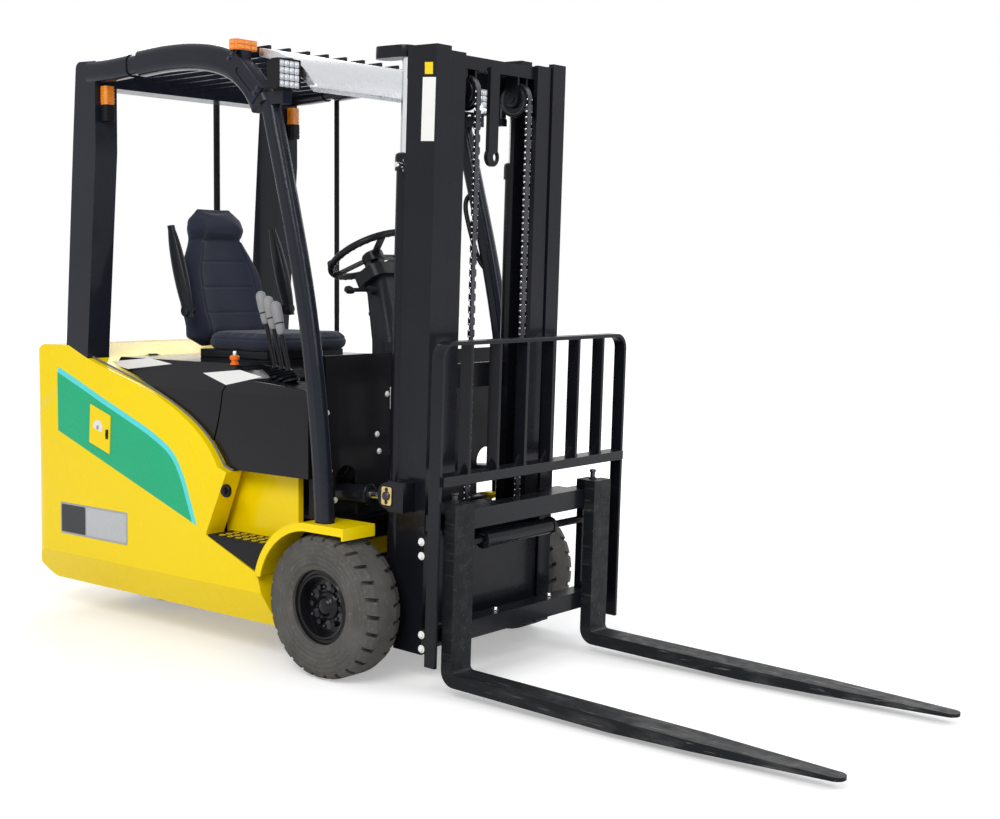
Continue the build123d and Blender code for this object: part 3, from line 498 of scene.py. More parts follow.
def turned(name, place, profile, mat, body, put=at, steps=24):
    """A piece that is one turned shape."""
    bm = bmesh.new()
    lathe(bm, place, profile, steps)
    piece(name, bm, mat, body, put)


def add_rounding(obj, width):
    modifier = obj.modifiers.new("rounding", "BEVEL")
    modifier.width = width / 1000
    modifier.segments = 3
    modifier.limit_method = "ANGLE"
    modifier.angle_limit = math.radians(42)


def wire(name, points, radius, mat, body, place=at, closed=False):
    data = bpy.data.curves.new(name, "CURVE")
    data.dimensions = "3D"
    data.bevel_depth = radius / 1000
    data.bevel_resolution = 3
    spline = data.splines.new("NURBS")
    spline.points.add(len(points) - 1)
    for target, point in zip(spline.points, points):
        target.co = (*place(point), 1.0)
    spline.order_u = 3
    spline.use_endpoint_u = not closed
    spline.use_cyclic_u = closed
    data.use_fill_caps = True
    data.materials.append(mat)
    obj = bpy.data.objects.new(name, data)
    bpy.context.scene.collection.objects.link(obj)
    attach(obj, body)


# Body panels
SKIN_REF = (-1425, 666)
SKIN_FALL = (0.2934, 0.956)


def skin_point(x, z, side, out):
    """A point a little off the leaned side skin."""
    y = SKIN_Y - SKIN_LEAN * (SKIN_FALL[0] * (x - SKIN_REF[0]) + SKIN_FALL[1] * (z - SKIN_REF[1]))
    return Vector((x, side * (min(y, SKIN_Y) + out), z))


def skin_sheet(bm, outline, side, low, high):
    """A thin sheet of any outline on the side skin."""
    plate(bm, *([skin_point(x, z, side, out) for x, z in outline] for out in (low, high)))


PANEL_TOP = [(-1389, 918), (-1250, 868), (-1116, 818), (-975, 768), (-837, 716), (-729, 659),
             (-668, 584), (-622, 490), (-589, 417)]
PANEL_FOOT = (-1381, 684)
STRIPE_WIDTH = 20.0
# line of the hood's lower edge; the thin grey wire drawn along it is a painted highlight
HOOD_LOWER_EDGE = [(-1215, 956), (-880, 863), (-659, 770), (-555, 696), (-495, 624), (-450, 610)]
HOOD_LOWER_EDGE_Y = 470.5
# Blank two-tone plate: name, material, low and high X, low and high Z, height off the skin
NAME_PLATE = (
    ("plate_frame", plate_grey, (-1368, -968, 304, 420), 1.2),
    ("plate_dark_part", plate_dark, (-1361, -1216, 311, 413), 1.9),
    ("plate_light_part", plate_light, (-1210, -975, 311, 413), 1.9),
)


def add_panels():
    outer = smooth_line(PANEL_TOP)
    inner = []
    for k, point in enumerate(outer):
        ahead = outer[min(k + 1, len(outer) - 1)] - outer[max(k - 1, 0)]
        inner.append(point + Vector((ahead.y, -ahead.x)).normalized() * STRIPE_WIDTH)
    inner[-1] = Vector((outer[-1].x - STRIPE_WIDTH, outer[-1].y + 7.0))
    for side, word in SIDES:
        bm = bmesh.new()
        skin_sheet(bm, [tuple(p) for p in inner] + [PANEL_FOOT], side, -0.3, 0.45)
        piece(f"green_panel_{word}", bm, panel_green, "truck")
        bm = bmesh.new()
        skin_sheet(bm, [tuple(p) for p in outer] + [tuple(p) for p in inner[::-1]], side, -0.3, 0.5)
        piece(f"mint_stripe_{word}", bm, panel_mint, "truck")
        for name, mat, (low_x, high_x, low_z, high_z), out in NAME_PLATE:
            bm = bmesh.new()
            middle = ((low_x + high_x) / 2, side * (SKIN_Y - 0.4), (low_z + high_z) / 2)
            prism(bm, rounded(high_z - low_z, high_x - low_x, 6), facing(middle, (0, side, 0)), 0, out)
            piece(f"{name}_{word}", bm, mat, "truck", bevel=0.4)
        # thin grey wire along the hood's lower edge: a painted highlight of that edge
        rim = [(p.x, side * HOOD_LOWER_EDGE_Y, p.y + 4.0) for p in smooth_line(HOOD_LOWER_EDGE, 4)]
        wire(f"hood_edge_highlight_{word}", rim, 4.0, button_grey_and_edge_highlight, "truck")


HOOD_LABELS_PX = (
    ((104, 362), (150, 358), (172, 364), (128, 369)),
    ((203, 373), (240, 370), (262, 377), (226, 385)),
)
SHOULDER = ((0, -468, 872), (0, -0.81, 0.586))
KNOB_AT = Vector((-525, -396, 961))
SIDE_LATCH_PX = (225, 491)
# Latch door: name, radius, height and material of the two rounds of its label, and its lock
DOOR_LABEL = (("door_label", 27, 0.5, white_paint), ("door_label_dot", 8, 0.8, plate_grey))
DOOR_LABEL_AT = (-1138, 711)
DOOR_LOCK_AT = (-1083, 690)
BULKHEAD_BOLTS_PX = (
    (316, 357), (360, 355), (324, 386), (327, 413), (330, 471), (377, 434), (379, 451), (392, 442),
    (387, 394), (335, 500),
)
BULKHEAD_LABEL_PX = ((390, 387), (402, 387), (402, 409), (390, 409))
BULKHEAD_FACE_X = -40.0
BULKHEAD_HALF = 440
BULKHEAD_HEIGHTS = (490, 1005)


def quad(bm, corners, thickness):
    """A thin plate between four corners."""
    a, b, c, d = (Vector(p) for p in corners)
    normal = (b - a).cross(d - a).normalized() * thickness
    plate(bm, *([p + offset for p in (a, b, c, d)] for offset in (-normal * 0.3, normal)))


def add_hood_trim():
    for k, corners in enumerate(HOOD_LABELS_PX):
        bm = bmesh.new()
        quad(bm, [seen_at(px, *SHOULDER) for px in reversed(corners)], 0.5)
        piece(f"hood_label_{k + 1}", bm, white_paint, "hood_lid")
    turned("hood_release_knob", facing(KNOB_AT, (0, 0, 1)), [
        (0, -3), (15, -3), (15, 3), (11, 5), (11, 12), (16, 15), (17, 24), (13, 29), (0, 30),
    ], orange_paint, "hood_lid")
    tip = facing(KNOB_AT + Vector((0, 0, 29)), (0, 0, 1))
    turned("hood_release_tip", tip, [(0, 0), (6, 0), (6, 12), (4, 15), (0, 15)], chrome, "hood_lid")
    # catch on the right skin and the small lock of the latch door
    spot = seen_at(SIDE_LATCH_PX, (0, -SKIN_Y, 0), (0, 1, 0))
    turned("side_catch", facing(spot + Vector((0, 10, 0)), (0, -1, 0)), [
        (0, 0), (22, 0), (22, 9), (19, 12), (12, 12.5), (12, 20), (9, 22), (0, 22),
    ], frame_paint, "truck")
    for name, radius, height, mat in DOOR_LABEL:
        profile = [(0, -0.5), (radius, -0.5), (radius, height), (0, height)]
        place = facing(skin_point(*DOOR_LABEL_AT, -1, 4.9), (0, -1, 0))
        turned(name, place, profile, mat, "latch_door", steps=36)
    bm = bmesh.new()
    middle = skin_point(*DOOR_LOCK_AT, -1, 4.6)
    prism(bm, rounded(34, 13, 4), facing(middle, (0, -1, 0)), -0.5, 3.5)
    lathe(bm, facing(middle, (0, -1, 0)), [(0, 3), (5, 3), (5, 6), (0, 6)], 16)
    piece("door_lock", bm, frame_paint, "latch_door", bevel=0.6)
    # bulkhead fasteners and its blank label
    bm = bmesh.new()
    for px in BULKHEAD_BOLTS_PX:
        spot = seen_at(px, (BULKHEAD_FACE_X, 0, 0), (1, 0, 0))
        if abs(spot.y) < BULKHEAD_HALF and BULKHEAD_HEIGHTS[0] < spot.z < BULKHEAD_HEIGHTS[1]:
            bolt(bm, spot, (1, 0, 0), 6.5, 12)
    piece("bulkhead_bolts", bm, white_paint, "truck")
    bm = bmesh.new()
    corners = [seen_at(px, (BULKHEAD_FACE_X, 0, 0), (1, 0, 0)) for px in BULKHEAD_LABEL_PX]
    quad(bm, corners, 0.6)
    piece("bulkhead_label", bm, white_paint, "truck")


STEP_AT = (-388, 455, 394.6)
STEP_PITCH = 40


def add_step_rings():
    for side, word in SIDES:
        bm = bmesh.new()
        for i in range(6):
            for j in range(3):
                across = side * STEP_AT[1] + 30 * (j - 1)
                ring = facing((STEP_AT[0] + STEP_PITCH * (i - 2.5), across, STEP_AT[2]), (0, 0, 1))
                lathe(bm, ring, [(9, 0), (11.5, 0), (11, 1.6), (9.4, 1.6), (9, 0)], 20)
        piece(f"step_rings_{word}", bm, label_yellow, "truck")
        bm = bmesh.new()
        for k in range(7):
            x = STEP_AT[0] + STEP_PITCH * k - 117
            block(bm, (x, side * STEP_AT[1], STEP_AT[2] + 1.0), (4, 92, 1.6))
        piece(f"step_ribs_{word}", bm, frame_paint, "truck", bevel=0.4)


# Lamps
WORK_LAMP_AT = (-171, 478, 1891)
LAMP_SIZE = 96
LAMP_CELL = 21.5
LAMP_STEM_AT = (-190, 478, 1838)
REAR_LAMP_AT = (-1136, 455, 1808)
STROBE_AT = (-392, -470)
STROBE_ROWS = (1995, 2010)
STROBE_BANDS = (1986.5, 2001, 2016)


def add_lamps():
    for side, word in SIDES:
        x, y, z = WORK_LAMP_AT
        place = facing((x, side * y, z), (1, 0, 0))
        bm = bmesh.new()
        prism(bm, rounded(LAMP_SIZE, LAMP_SIZE, 9), place, -1, 3)
        for k in (-1, 1):
            bar = moved(place, 45.5 * k, 0)
            prism(bm, rounded(4, 92, 1.5, 2), bar, 2, 7)
            bar = moved(place, 0, 45.5 * k)
            prism(bm, rounded(92, 4, 1.5, 2), bar, 2, 7)
        piece(f"lamp_bezel_{word}", bm, frame_paint, "truck", bevel=0.7)
        bm = bmesh.new()
        for i in range(4):
            for j in range(4):
                spot = moved(place, LAMP_CELL * (i - 1.5), LAMP_CELL * (j - 1.5))
                prism(bm, rounded(19.5, 19.5, 3, 2), spot, 2.5, 4)
                lathe(bm, spot, [(8.5, 3.8), (7, 6.4), (4, 7.6), (0, 8)], 16)
        piece(f"lamp_lenses_{word}", bm, clear, "truck")
        bm = bmesh.new()
        x, y, z = LAMP_STEM_AT
        for dy in (-24, 24):
            bolt(bm, (x, side * y + dy, z + 6), (0, 0, 1), 5)
        lathe(bm, facing((x, side * y, z), (0, 0, 1)), [(0, 0), (9, 0), (9, 7), (0, 7)], 20)
        piece(f"lamp_bolts_{word}", bm, chrome, "truck")
        # black lower half of the rear lamp
        bm = bmesh.new()
        x, y, z = REAR_LAMP_AT
        place = facing((x, side * y, z), (0, 0, 1))
        prism(bm, rounded(38.5, 41.5, 8), place, 0, 58)
        for k in range(3):
            prism(bm, rounded(41, 44, 9), place, 10 + 15 * k, 14 + 15 * k)
        piece(f"rear_lamp_base_{word}", bm, frame_paint, "truck", bevel=0.6)
        bm = bmesh.new()
        for k in range(5):
            prism(bm, rounded(39, 42.5, 8), place, 66 + 11 * k, 70 + 11 * k)
        piece(f"rear_lamp_ribs_{word}", bm, amber, "truck", bevel=0.5)
    # strobe: two rows of square lenses all round, under a black cap strip
    bm = bmesh.new()
    for j in range(3):
        for z in STROBE_ROWS:
            for axis in (1, -1):
                lens_at = (STROBE_AT[0] + 19.5 * axis, STROBE_AT[1] + 29 * (j - 1), z)
                spot = facing(lens_at, (axis, 0, 0))
                prism(bm, rounded(12, 26, 3, 2), spot, -1, 1.5)
                lathe(bm, spot, [(5, 1.4), (4, 2.4), (0, 2.8)], 12)
    for z in STROBE_ROWS:
        spot = facing((STROBE_AT[0], STROBE_AT[1] - 48.5, z), (0, -1, 0))
        prism(bm, rounded(12, 24, 3, 2), spot, -1, 1.5)
    piece("strobe_lenses", bm, amber, "truck")
    bm = bmesh.new()
    for z in STROBE_BANDS:
        prism(bm, rounded(40, 98, 12), facing((*STROBE_AT, z), (0, 0, 1), (1, 0, 0)), 0, 2.6)
    piece("strobe_bands", bm, orange_paint, "truck", bevel=0.5)


# Cab: levers, steering, pedals, floor mat
LEVER_FOOT = (-385, -330, 912.8)
LEVER_AXIS = (-0.28, 0, 0.96)
LEVER_TOP = 303
STEER_HUB = Vector((-263, 0, 1331))
STEER_AXIS = Vector((-0.5, 0, 0.866))
STEER_FORWARD = Vector((0.866, 0, 0.5))
STEER_RADIUS = 150
GRIP_COUNT = 36
PEDALS = (("accelerator", -205, 70), ("brake", -300, 84))
PEDAL_AXIS = (-0.8, 0, 0.6)


def add_cab():
    for i in range(3):
        foot = Vector(LEVER_FOOT) + Vector((44, -10, -2.7)) * i
        place = facing(foot, LEVER_AXIS, (0.96, 0, 0.28))
        top = LEVER_TOP - 14 * i
        turned(f"lever_grip_{i + 1}", place, [
            (0, top - 112), (9, top - 112), (14, top - 106), (15.5, top - 88), (15, top - 74),
            (17.5, top - 60), (18, top - 18), (15, top - 5), (8, top + 1), (0, top + 2),
        ], grey_plastic, "truck", steps=28)
        shaft = [(0, 44), (8, 44), (7.6, 52), (7.6, top - 112), (0, top - 112)]
        turned(f"lever_shaft_{i + 1}", place, shaft, frame_paint, "truck", steps=20)
    hub = facing(STEER_HUB, STEER_AXIS)
    profile = [(0, -1), (36, -1), (36, 3), (30, 7), (12, 9), (0, 9)]
    turned("horn_pad", hub, profile, grained_plastic, "steer_column_wheel", steps=40)
    bm = bmesh.new()
    for k in range(GRIP_COUNT):
        angle = 2 * math.pi * k / GRIP_COUNT
        spot = hub @ Vector((STEER_RADIUS * math.cos(angle), STEER_RADIUS * math.sin(angle), -11.5))
        lathe(bm, facing(spot, -STEER_AXIS), [(6.5, -1.5), (5, 0.8), (0, 1.4)], 12)
    piece("wheel_finger_grips", bm, grained_plastic, "steer_column_wheel")
    # instrument face on the column housing and the key
    bm = bmesh.new()
    face = facing(STEER_HUB - STEER_AXIS * 62 - STEER_FORWARD * 34, STEER_AXIS, STEER_FORWARD)
    prism(bm, rounded(44, 120, 10), face, -1, 2.5)
    piece("instrument_face", bm, plate_dark, "truck", bevel=0.8)
    bm = bmesh.new()
    for k in range(4):
        spot = moved(face, 0, 30 * (k - 1.5))
        lathe(bm, spot, [(9, 2), (9, 4), (7, 4.4), (0, 4.4)], 20)
    piece("instrument_buttons", bm, button_grey_and_edge_highlight, "truck")
    bm = bmesh.new()
    lathe(bm, facing((-160, -40, 1130), (1, 0, 0)), [(0, 0), (13, 0), (13, 3), (9, 5), (0, 5)])
    prism(bm, rounded(22, 5, 2), facing((-155, -40, 1130), (1, 0, 0)), 0, 18)
    piece("key_switch", bm, chrome, "truck", bevel=0.5)
    tip = facing((-205, -170, 1212), (-0.15, -1, 0.25))
    profile = [(0, -18), (8, -18), (12, -8), (14, 4), (10, 15), (0, 18)]
    turned("direction_lever_knob", tip, profile, grained_plastic, "truck")
    # pedals
    for word, y, wide in PEDALS:
        place = facing((-150, y, 560), PEDAL_AXIS, (0.6, 0, 0.8))
        bm = bmesh.new()
        prism(bm, rounded(110, wide, 12), place, -4, 3)
        for k in range(6):
            spot = moved(place, 17 * (k - 2.5), 0)
            prism(bm, rounded(5, wide - 16, 2), spot, 2.5, 6)
        piece(f"{word}_pad", bm, mat_rubber, "truck", bevel=1.0)
        arm = [(-148, y, 556), (-110, y, 600), (-75, y, 640), (-56, y, 690)]
        wire(f"{word}_arm", arm, 8, frame_paint, "truck")
    bm = bmesh.new()
    for k in range(20):
        block(bm, (-330 + 11 * k, 150, 481.2), (5, 330, 2.6))
    block(bm, (-225, 150, 480.4), (226, 344, 1.2))
    piece("floor_mat", bm, mat_rubber, "truck", bevel=0.4)


# Wheels
STUD_CIRCLE = 62
TYRE_BEADS = ((123, 62.0), (131, 65.5), (206, 72.0))


def add_wheel_trim():
    for side, word in SIDES:
        body = f"wheel_front_{word}"
        out = Vector((0, side, 0))
        hub = Vector((0, side * WHEEL_Y, WHEEL_Z))
        place = facing(hub, out)
        bm = bmesh.new()
        lathe(bm, place, [
            (0, 54), (10, 53.5), (20, 50), (27, 44), (30, 38), (36, 35), (40, 34), (44, 30), (44, 22),
            (0, 22),
        ], 48)
        lathe(bm, place, [(88, 20), (94, 58), (100, 60.5), (105, 57), (100, 54), (92, 18), (88, 20)], 72)
        piece(f"wheel_hub_{word}", bm, rim_paint, body)
        bm = bmesh.new()
        for k in range(6):
            angle = math.pi / 3 * k
            x, y = STUD_CIRCLE * math.cos(angle), STUD_CIRCLE * math.sin(angle)
            stud = facing(place @ Vector((x, y, 36.5)), out)
            lathe(bm, stud, [(0, 0), (5, 0), (5, 7), (3.5, 9), (0, 9)], 14)
            boss = facing(place @ Vector((x, y, 23)), out)
            lathe(bm, boss, [(0, 0), (14, 0), (14, 2.5), (0, 2.5)], 20)
        piece(f"wheel_studs_{word}", bm, chain_steel, body)
        bm = bmesh.new()
        for radius, height in TYRE_BEADS:
            lathe(bm, place, [
                (radius - 2, height - 2), (radius - 1, height + 1.6), (radius + 1, height + 1.6),
                (radius + 2, height - 2),
            ], 96)
        piece(f"tyre_beads_{word}", bm, front_tyre, body)


# Mast, carriage and forks
MAST_SIDE_Y = -326.0
MAST_LABELS_PX = (
    ("mast_label_yellow", label_yellow, ((425, 62), (433, 62), (433, 74), (425, 74))),
    ("mast_label_white", white_paint, ((423, 77), (436, 77), (434, 141), (421, 141))),
)
BACKREST_BOLTS_PX = ((421.5, 542), (421.5, 556), (421.5, 635), (421.5, 649))
SHEAVE_AT = (208, 130, 1840)
SHEAVE_PINS_RADIUS = 53
CHAIN_X = SHEAVE_AT[0] + 53.2
CHAIN_FOOT_Z = 546
CHAIN_PITCH = 19
CLAMP_Z = 1605
CYLINDER_AT = (95, 272, 1634)
TILT_PIN_AT = (150, 379, 585)
TILT_FOOT_AT = (-150, 352, 560)
FORK_Y = 356


def add_mast_trim():
    for name, mat, corners in MAST_LABELS_PX:
        bm = bmesh.new()
        quad(bm, [seen_at(px, (0, MAST_SIDE_Y, 0), (0, 1, 0)) for px in corners], -0.6)
        piece(name, bm, mat, "mast_outer")
    # chain pins and sheave flanges
    sheave_x, sheave_y, sheave_z = SHEAVE_AT
    pitch_count = int((sheave_z - CHAIN_FOOT_Z) // CHAIN_PITCH)
    pitch = (sheave_z - CHAIN_FOOT_Z) / pitch_count
    for side, word in SIDES:
        bm = bmesh.new()
        for k in range(pitch_count + 1):
            for out in (-1, 1):
                spot = (CHAIN_X, side * sheave_y + out * 11.5, CHAIN_FOOT_Z + pitch * k)
                lathe(bm, facing(spot, (0, out, 0)), [(0, 0), (3.4, 0), (3.4, 2.2), (2.2, 3), (0, 3)], 10)
        for k in range(1, 9):
            angle = math.pi * k / 9
            x = sheave_x + SHEAVE_PINS_RADIUS * math.cos(angle)
            z = sheave_z + SHEAVE_PINS_RADIUS * math.sin(angle)
            for out in (-1, 1):
                spot = (x, side * sheave_y + out * 10.5, z)
                lathe(bm, facing(spot, (0, out, 0)), [(0, 0), (3.4, 0), (3.4, 1.6), (0, 2.2)], 10)
        piece(f"chain_pins_{word}", bm, chrome, "mast_inner", mast_at)
        bm = bmesh.new()
        for out in (-1, 1):
            flange = facing((sheave_x, side * sheave_y + out * 12.2, sheave_z), (0, out, 0))
            lathe(bm, flange, [
                (13, 0), (55, 0), (56, 1.4), (55, 2.6), (44, 2.8), (42, 4.5), (22, 4.5), (20, 3),
                (13, 3), (13, 0),
            ], 56)
        piece(f"sheave_flanges_{word}", bm, mast_paint, "mast_inner", mast_at)
        bm = bmesh.new()
        for dz in (-15, 15):
            bolt(bm, (151, side * 309, CLAMP_Z + dz), (1, 0, 0), 7)
            bolt(bm, (128, side * 309, CLAMP_Z + dz), (-1, 0, 0), 7)
        pin = facing((118, side * 330, CLAMP_Z), (0, side, 0))
        lathe(bm, pin, [(0, -12), (9, -12), (9, 10), (6, 14), (0, 14)], 20)
        piece(f"clamp_bolts_{word}", bm, chrome, "mast_outer", mast_at)
        # gland ring at the top of each lift cylinder
        x, y, z = CYLINDER_AT
        turned(f"cylinder_gland_{word}", facing((x, side * y, z), (0, 0, 1)), [
            (19.5, 0), (33, 0), (33, 7), (28, 11), (22, 13), (19.5, 13), (19.5, 0),
        ], mast_paint, "mast_outer", mast_at, 40)
        # brass plate and pin on the tilt bracket
        bm = bmesh.new()
        x, y, z = TILT_PIN_AT
        place = facing((x, side * y, z), (0, side, 0))
        prism(bm, rounded(58, 42, 8), place, -0.5, 5)
        piece(f"tilt_pin_plate_{word}", bm, brass, "mast_outer", mast_at, bevel=0.8)
        bm = bmesh.new()
        lathe(bm, place, [(0, 4), (14, 4), (14, 9), (11, 12), (0, 12)], 28)
        for along in (-20, 20):
            bolt(bm, place @ Vector((along, 0, 4.6)), (0, side, 0), 4.5)
        piece(f"tilt_pin_{word}", bm, chain_steel, "mast_outer", mast_at)
        # gland of the tilt cylinder, drawn along X and turned onto the barrel
        bm = bmesh.new()
        lathe(bm, facing((203, 0, 0), (1, 0, 0)), [
            (15.2, 0), (33, 0), (33, 12), (26, 17), (15.2, 17), (15.2, 0),
        ], 36)
        x, y, z = TILT_FOOT_AT
        turn = Matrix.Rotation(-math.atan2(17.0, 300.0), 4, "Y")
        bm.transform(Matrix.Translation(Vector((x, side * y, z))) @ turn)
        piece(f"tilt_gland_{word}", bm, mast_paint, f"tilt_barrel_{word[0]}")
    bm = bmesh.new()
    for px in BACKREST_BOLTS_PX:
        spot = seen_at(px, (0, SHIFT_Y - 478, 0), (0, 1, 0))
        bolt(bm, spot, (0, -1, 0), 8, 12)
    piece("backrest_bolts", bm, white_paint, "fork_carrier")
    # locking pins on top of the forks
    for side, word in SIDES:
        turned(f"fork_lock_{word}", facing((405, side * FORK_Y, 594), (0, 0, 1)), [
            (0, 0), (12, 0), (12, 6), (8, 9), (8, 24), (11, 27), (11, 33), (0, 35),
        ], chain_steel, "fork_carrier", mast_at)
    bm = bmesh.new()
    for y in (-330, 330):
        for z in (228, 500):
            bolt(bm, (373, SHIFT_Y + y, z), (1, 0, 0), 9)
    for y in (-140, 140):
        bolt(bm, (370, SHIFT_Y + y, 222), (0, 0, 1), 8)
    piece("shifter_bolts", bm, chrome, "fork_carrier", mast_at)
    bm = bmesh.new()
    for side in (-1, 1):
        lathe(bm, facing((369, side * 165, 455), (0, side, 0)), [
            (13, 0), (29, 0), (29, 12), (25, 15), (13, 15), (13, 0),
        ], 36)
    piece("shift_glands", bm, mast_paint, "lift_carriage", mast_at)


BRACKET_BOLTS = ((-415, 1958), (-400, 1972), (-292, 1838), (-278, 1853))
PILLAR_FOOT_BOLTS_X = (-1300, -1266)
GRAB_HANDLE = [
    (-205, 470, 1560), (-235, 452, 1545), (-200, 450, 1420), (-150, 452, 1290), (-122, 470, 1275),
]
REAR_LEAN = (-1, 0, 0.06)


def add_guard_trim():
    for side, word in SIDES:
        bm = bmesh.new()
        for x, z in BRACKET_BOLTS:
            bolt(bm, (x, side * 512, z), (0, side, 0), 6)
        piece(f"bracket_bolts_{word}", bm, chain_steel, "truck")
        bm = bmesh.new()
        for x in PILLAR_FOOT_BOLTS_X:
            bolt(bm, (x, side * 472, 1002), (0, 0, 1), 8)
        piece(f"pillar_foot_bolts_{word}", bm, chain_steel, "truck")
    # grab handle on the left front pillar
    wire("grab_handle", GRAB_HANDLE, 9, grained_plastic, "truck")
    # lights and blank sign on the back of the counterweight
    bm = bmesh.new()
    prism(bm, rounded(90, 300, 6), facing((-1541, 0, 830), REAR_LEAN), -2, 1.5)
    piece("rear_sign", bm, white_paint, "truck", bevel=0.4)
    for side, word in SIDES:
        bm = bmesh.new()
        spot = facing((-1538, side * 330, 860), REAR_LEAN)
        prism(bm, rounded(60, 130, 12), spot, -2, 8)
        piece(f"tail_lamp_{word}", bm, tail_red, "truck", bevel=1.5)
        bm = bmesh.new()
        for k in range(7):
            rib = moved(spot, 0, 17 * (k - 3))
            prism(bm, rounded(52, 3, 1, 2), rib, 7, 9.5)
        piece(f"tail_lamp_ribs_{word}", bm, tail_red, "truck")


# Seat. Each BACK_ table holds heights and the value there.
BACK_HALF = [(985, 208), (1150, 222), (1270, 208), (1392, 140), (1440, 146), (1523, 118)]
BACK_FRONT = [(985, -957), (1060, -957), (1200, -1003), (1395, -1054), (1440, -1044), (1523, -1068)]
BACK_REAR = [(985, -1043), (1390, -1127), (1523, -1113)]
BACK_ROWS = 40
BACK_FOOT_Z = 988
BACK_TOP_Z = 1518
BACK_SEAMS_Z = (1120, 1215, 1310)
NECK_SEAM_Z = 1392
CUSHION_X = -735
CUSHION_LAYERS = ((993, 20), (998, 11), (1012, 7), (1030, 8), (1040, 14), (1045, 26), (1048, 60))
CUSHION_SEAM_Y = 142
CUSHION_SEAMS_X = (-640, -735, -830)
CUSHION_WELT_Z = 1032
SEAT_LOOP = 96
ARMREST_ROWS = 22
VOXEL = 0.006
SWELL_FRAMES = 20
SWELL_LIMIT = 0.012
SEAM_DEPTH = 0.0045
BOX_SLACK = 0.004


def loop_points(half_x, half_y, count, power):
    """Points round a rounded box in plan."""
    points = []
    for k in range(count):
        angle = 2 * math.pi * k / count
        c, s = math.cos(angle), math.sin(angle)
        points.append((
            half_x * math.copysign(abs(c) ** (2 / power), c),
            half_y * math.copysign(abs(s) ** (2 / power), s),
        ))
    return points


def between(table, z):
    """Straight-line reading of a table of (z, value)."""
    for (z0, v0), (z1, v1) in zip(table, table[1:]):
        if z <= z1:
            return v0 + (v1 - v0) * max(0.0, (z - z0) / (z1 - z0))
    return table[-1][1]


def stack(rows):
    """A closed shape from loops of points, one above the other."""
    bm = bmesh.new()
    rings = [[bm.verts.new(p) for p in row] for row in rows]
    for low, high in zip(rings, rings[1:]):
        band(bm, low, high)
    bm.faces.new(rings[0][::-1])
    bm.faces.new(rings[-1])
    bmesh.ops.triangulate(bm, faces=[f for f in bm.faces if len(f.verts) > 4])
    return bm


def cushion_rows():
    """Loops of the seat cushion, each drawn in from the cushion's full size."""
    return [
        [(CUSHION_X + x, y, z) for x, y in loop_points(213 - inset, 222 - inset, SEAT_LOOP, 5.0)]
        for z, inset in CUSHION_LAYERS
    ]


def back_rows():
    """Loops of the seat back, rounded off at both ends and hollow in front."""
    rows = []
    for k in range(BACK_ROWS + 1):
        z = BACK_FOOT_Z + (BACK_TOP_Z - BACK_FOOT_Z) * k / BACK_ROWS
        end = min(1.0, 0.45 + 0.55 * min(k, BACK_ROWS - k) / 3)
        front, rear, half = between(BACK_FRONT, z), between(BACK_REAR, z), between(BACK_HALF, z)
        middle, depth = (front + rear) / 2, (front - rear) / 2 - 6
        row = []
        for x, y in loop_points(depth * end, (half - 7) * (0.5 + 0.5 * end), SEAT_LOOP, 3.2):
            hollow = 0.0
            if x > 0:
                across = min(1.0, abs(y) / (0.62 * half))
                hollow = 20.0 * (1 - across ** 4) * x / depth
                if z > 1400:
                    hollow *= 0.35
            row.append((middle + x - hollow, y, z))
        rows.append(row)
    return rows


def add_armrests():
    """Folded-up pads, thick in the middle and rounded at both ends, each on its pivot."""
    bm = bmesh.new()
    for side in (-1, 1):
        rings = []
        for k in range(ARMREST_ROWS + 1):
            share = k / ARMREST_ROWS
            bulge = max(0.18, math.sin(math.pi * share)) ** 0.35
            middle = (-937 - 103 * share, side * 250, 1106 + 334 * share)
            rings.append([
                bm.verts.new((middle[0] + x, middle[1] + y, middle[2] + 0.12 * x))
                for x, y in loop_points((34 - 6 * share) * bulge, 17 * bulge, 32, 3.0)
            ])
        for low, high in zip(rings, rings[1:]):
            band(bm, low, high)
        bm.faces.new(rings[0])
        bm.faces.new(rings[-1])
        lathe(bm, facing((-948, side * 232, 1130), (0, side, 0)), [
            (0, -7), (15, -7), (15, 2), (22, 3), (22, 30), (19, 34), (8, 35), (0, 35),
        ], 32)
    pads = piece("armrest_pads", bm, grained_plastic, "hood_lid")
    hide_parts("armrests")


FAR = 99.0


def groove(distance, width):
    """Depth of a sewn line, 1 in its middle."""
    return math.exp(-(distance / width) ** 2)


def cushion_seam(p):
    top = max(0.0, min(1.0, (p.z - 1030) / 10))
    side_seam = abs(abs(p.y) - CUSHION_SEAM_Y)
    inside = abs(p.y) < CUSHION_SEAM_Y
    cross = min(abs(p.x - x) for x in CUSHION_SEAMS_X) if inside else FAR
    on_top = max(groove(side_seam, 4.5), 0.7 * groove(cross, 4.5))
    return top * on_top + (1 - top) * 0.8 * groove(abs(p.z - CUSHION_WELT_Z), 4.0)


def back_seam(p):
    front = between(BACK_FRONT, p.z)
    rear = between(BACK_REAR, p.z)
    half = between(BACK_HALF, p.z)
    if p.x > (front + rear) / 2:
        seam_y = 0.60 * half
        side_seam = abs(abs(p.y) - seam_y) if p.z < NECK_SEAM_Z - 7 else FAR
        cross = min(abs(p.z - z) for z in BACK_SEAMS_Z) if abs(p.y) < seam_y else FAR
        neck = abs(p.z - NECK_SEAM_Z)
        return max(groove(side_seam, 4.5), 0.7 * groove(cross, 4.5), 1.3 * groove(neck, 7.0))
    return 0.8 * groove(p.x - rear - 26, 4.0)


def evaluated_mesh(obj):
    graph = bpy.context.evaluated_depsgraph_get()
    return bpy.data.meshes.new_from_object(obj.evaluated_get(graph))


def truck_mm(co):
    return Vector(((co.x - AXLE_X) * 1000, co.y * 1000, co.z * 1000))


